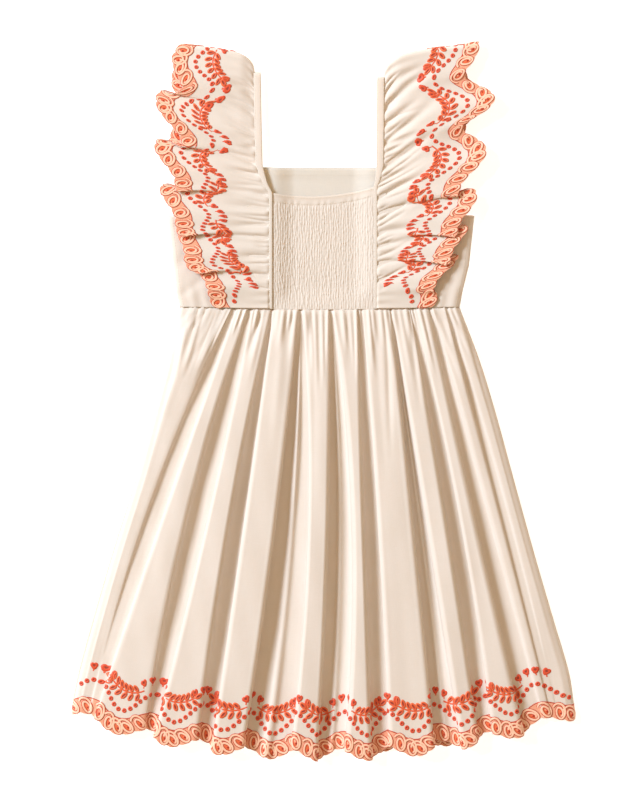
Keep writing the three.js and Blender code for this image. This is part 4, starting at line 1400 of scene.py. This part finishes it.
def skirtPlace(side):
    # where a flat point of the hem border lies on its skirt panel
    hemU, hemRun = hemGrid(side)
    fine = np.linspace(0, hemRun[-1], 1500)
    us = np.interp(fine, hemRun, hemU)
    step = 2.0
    vs = np.arange(-14, 66, step)  # from outside the scallops in past the hearts
    ts = 1 - vs[::-1] / skirt["flatDown"]
    points = skirtSurface(side, us, ts)[::-1]
    normals = -gridNormals(points)

    def surface(s, v):
        column, row = s / fine[1], (v - vs[0]) / step
        return readGrid(points, row, column), unit(readGrid(normals, row, column))

    return surface


def rufflePlace(hand, grid):
    turned = ruffles[hand]["side"] < 0
    normals = gridNormals(grid["points"], turned)
    places = np.arange(len(grid["s"]))

    def surface(s, v):
        column = np.interp(s, grid["run"], places)
        width = np.interp(column, places, grid["width"])
        row = (1 - v / width) / grid["w"][1]
        return readGrid(grid["points"], row, column), unit(readGrid(normals, row, column))

    return surface


embroidery = {}
for side, long in (("back", backHemLong), ("front", frontHemLong)):
    clear, ends = (7, 0.5) if side == "back" else (22, 4)  # the front one keeps clear of the side folds
    parts = borderParts(long, hemOf[side]["phase"], borderSizes["hem"], clear=clear, ends=ends)
    every = parts["edge"] + parts["field"]
    embroidery[f"skirt_{side}"] = sewn(f"skirt_{side}_embroidery", every, skirtPlace(side))
for hand, grid in ruffleGrids.items():
    long, phase = float(grid["run"][-1]), ruffles[hand]["scallopPhase"]
    parts = borderParts(long, phase, borderSizes["ruffle"], ruffles[hand]["side"])
    every = parts["edge"] + parts["field"]
    embroidery[f"ruffle_{hand}"] = sewn(
        f"ruffle_{hand}_embroidery", every, rufflePlace(hand, grid), parts["edge"]
    )
print("embroidery made", [len(p.data.polygons) for p in embroidery.values()])

# The sewing: rows of small stitches
stitch = {"pitch": 2.6, "long": 1.9, "thick": 0.34, "over": 0.3}  # over: above the middle of the cloth
bpy.ops.mesh.primitive_uv_sphere_add(segments=6, ring_count=4, radius=0.5, location=(0, 0, 0))
bpy.ops.transform.resize(value=(stitch["long"], stitch["thick"], stitch["thick"]))
bpy.ops.object.transform_apply(location=True, rotation=True, scale=True)
stitchMotif = takeMotif(lambda c: 0)


def stitchRow(line, lift=0.0):
    # stitches end to end along a line in space
    run = runLength(line)
    parts = []
    for at in np.arange(stitch["pitch"] / 2, run[-1], stitch["pitch"]):
        here = np.array([np.interp(at, run, line[:, k]) for k in range(3)])
        there = np.array([np.interp(min(at + 1, run[-1]), run, line[:, k]) for k in range(3)])
        ahead = unit(there - here + [1e-6, 0, 0])
        aside = unit(np.cross([0, 0, 1.0], ahead) + [0, 1e-6, 0])
        up = np.cross(ahead, aside)
        parts.append((stitchMotif[0] @ np.array([ahead, aside, up]) + here + [0, 0, lift], stitchMotif[1]))
    return parts


def addSewing(name, rows):
    points, faces, start = [], [], 0
    for part, partFaces in rows:
        points.append(part)
        faces += [[i + start for i in face] for face in partFaces]
        start += len(part)
    joined = np.vstack(points)
    return addPiece(name, joined, faces, [creamThread], joined[:, :2])


def lineOn(points, ys):
    # a line just over a panel's grid where it reaches given heights, column by column
    lines = []
    for i in range(points.shape[1]):
        column = points[::-1, i]
        lines.append([np.interp(ys[i], column[:, 1], column[:, k]) for k in range(3)])
    return np.array(lines) + [0, 0, stitch["over"]]


xs = shirredPoints[0, :, 0]
headerRows = [lineOn(shirredPoints, neckline(xs) - down) for down in (1.6, shirring["header"] - 1)]
sewing = {"bodice_back_shirred": [p for row in headerRows for p in stitchRow(row)]}
frontXs = bodiceFrontPoints[0, :, 0]
neckLine = lineOn(bodiceFrontPoints, np.full(len(frontXs), bodice["frontNeck"] - 7))
sewing["bodice_front"] = stitchRow(neckLine[2:-2])
for hand, (_, points) in strapPieces.items():
    ahead = unit(np.gradient(points[:, strapWay["across"] // 2], axis=0))
    off = unit(np.cross(ahead, [1.0, 0, 0])) * (strapWay["thick"] / 2 + 0.05)
    sewing[f"strap_{hand}"] = [p for column in (1, -2) for p in stitchRow(points[:, column] + off)]
for hand, (_, points) in sideBacks.items():
    edge = points[2:, 3 if hand == "left" else -4]
    sewing[f"bodice_side_back_{hand}"] = stitchRow(edge + [0, 0, stitch["over"]])
sewingPieces = {node: addSewing(f"{node}_stitches", rows) for node, rows in sewing.items()}
print("sewing made")

# Every piece rides on the one body, and each cloth says what it was cut from
clothPieces = {
    "skirt_back": (skirtBack, backPoints, "cotton"),
    "skirt_front": (skirtFront, frontPoints, "cotton"),
    "bodice_front": (bodiceFront, bodiceFrontPoints, "cotton"),
    "bodice_back_shirred": (shirred, shirredPoints, "shirred_cotton"),
    **{f"bodice_side_back_{hand}": (*sideBacks[hand], "cotton") for hand in sideBacks},
    **{f"strap_{hand}": (*strapPieces[hand], "cotton") for hand in strapPieces},
    **{f"ruffle_{hand}": (*rufflePieces[hand], "cotton") for hand in rufflePieces},
}
for node, (piece, points, slot) in clothPieces.items():
    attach(piece, "root")
for node, piece in embroidery.items():
    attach(piece, "root")
for node, piece in sewingPieces.items():
    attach(piece, "root")

# The stage: a plain pale floor, soft light from the left and a camera straight above
stage = {
    "centre": (-3.22, 2.17),
    "high": 736,
    "distance": 3000,
    "clothLevel": 10,
    "sensor": 36,
    "floor": 6,  # metres
    "floorDown": 0.0004,  # metres under the cloth, so that no faces coincide
    "glow": 0.68,
    "world": ("#FFDFB6", 0.5),
}
bpy.ops.mesh.primitive_plane_add(size=stage["floor"], location=(0, 0, -stage["floorDown"]))
floor = bpy.context.object
floor.name = "floor"
# opal acrylic lit faintly from below, as under catalogue pictures: it keeps the ground pale beside the cloth
floorPaint = newMaterial("opalAcrylicLightTable")
grain = addNode(floorPaint, "ShaderNodeTexNoise", {"Scale": 40.0, "Detail": 2.0})
floorTone = addNode(
    floorPaint,
    "ShaderNodeMix",
    {0: grain.outputs[0], 6: hexColour("#FBFAF8"), 7: hexColour("#FDFCFB")},
    data_type="RGBA",
)
floorShader = addNode(
    floorPaint,
    "ShaderNodeBsdfPrincipled",
    {
        "Base Color": floorTone.outputs[2],
        "Roughness": 0.9,
        "Specular IOR Level": 0.2,
        "Emission Color": hexColour("#FFFFFF"),
        "Emission Strength": stage["glow"],
    },
)
addNode(floorPaint, "ShaderNodeOutputMaterial", {"Surface": floorShader.outputs[0]})
floor.data.materials.append(floorPaint)

above = np.array([*stage["centre"], stage["distance"] + stage["clothLevel"]]) / 1000
bpy.ops.object.camera_add(location=above.tolist())
camera = bpy.context.object
camera.rotation_euler = (0, 0, 0)
camera.data.sensor_width = stage["sensor"]
camera.data.lens = stage["sensor"] * stage["distance"] / stage["high"]
camera.data.clip_end = 20
bpy.context.scene.camera = camera

lights = [
    # name, from azimuth and elevation in degrees, distance and size in metres, watts, colour
    ("keySoftbox", 152, 35, 5.2, 1.5, 392, "#E2EFFF"),
    ("topFill", 60, 70, 2.8, 2.2, 7, "#FFF4E4"),
]
for name, azimuth, elevation, distance, size, watts, colour in lights:
    a, e = math.radians(azimuth), math.radians(elevation)
    place = np.array([math.cos(a) * math.cos(e), math.sin(a) * math.cos(e), math.sin(e)]) * distance
    bpy.ops.object.light_add(type="AREA", location=place.tolist())
    light = bpy.context.object
    light.name = name
    light.data.size = size
    light.data.energy = watts
    light.data.color = hexColour(colour)[:3]
    aim = -light.location
    light.rotation_mode = "QUATERNION"
    light.rotation_quaternion = aim.to_track_quat("-Z", "Y")

world = bpy.data.worlds.new("studio")
world.use_nodes = True
background = world.node_tree.nodes["Background"]
background.inputs["Color"].default_value = hexColour(stage["world"][0])
background.inputs["Strength"].default_value = stage["world"][1]
bpy.context.scene.world = world
bpy.context.scene.view_settings.view_transform = "Standard"
print("stage set")
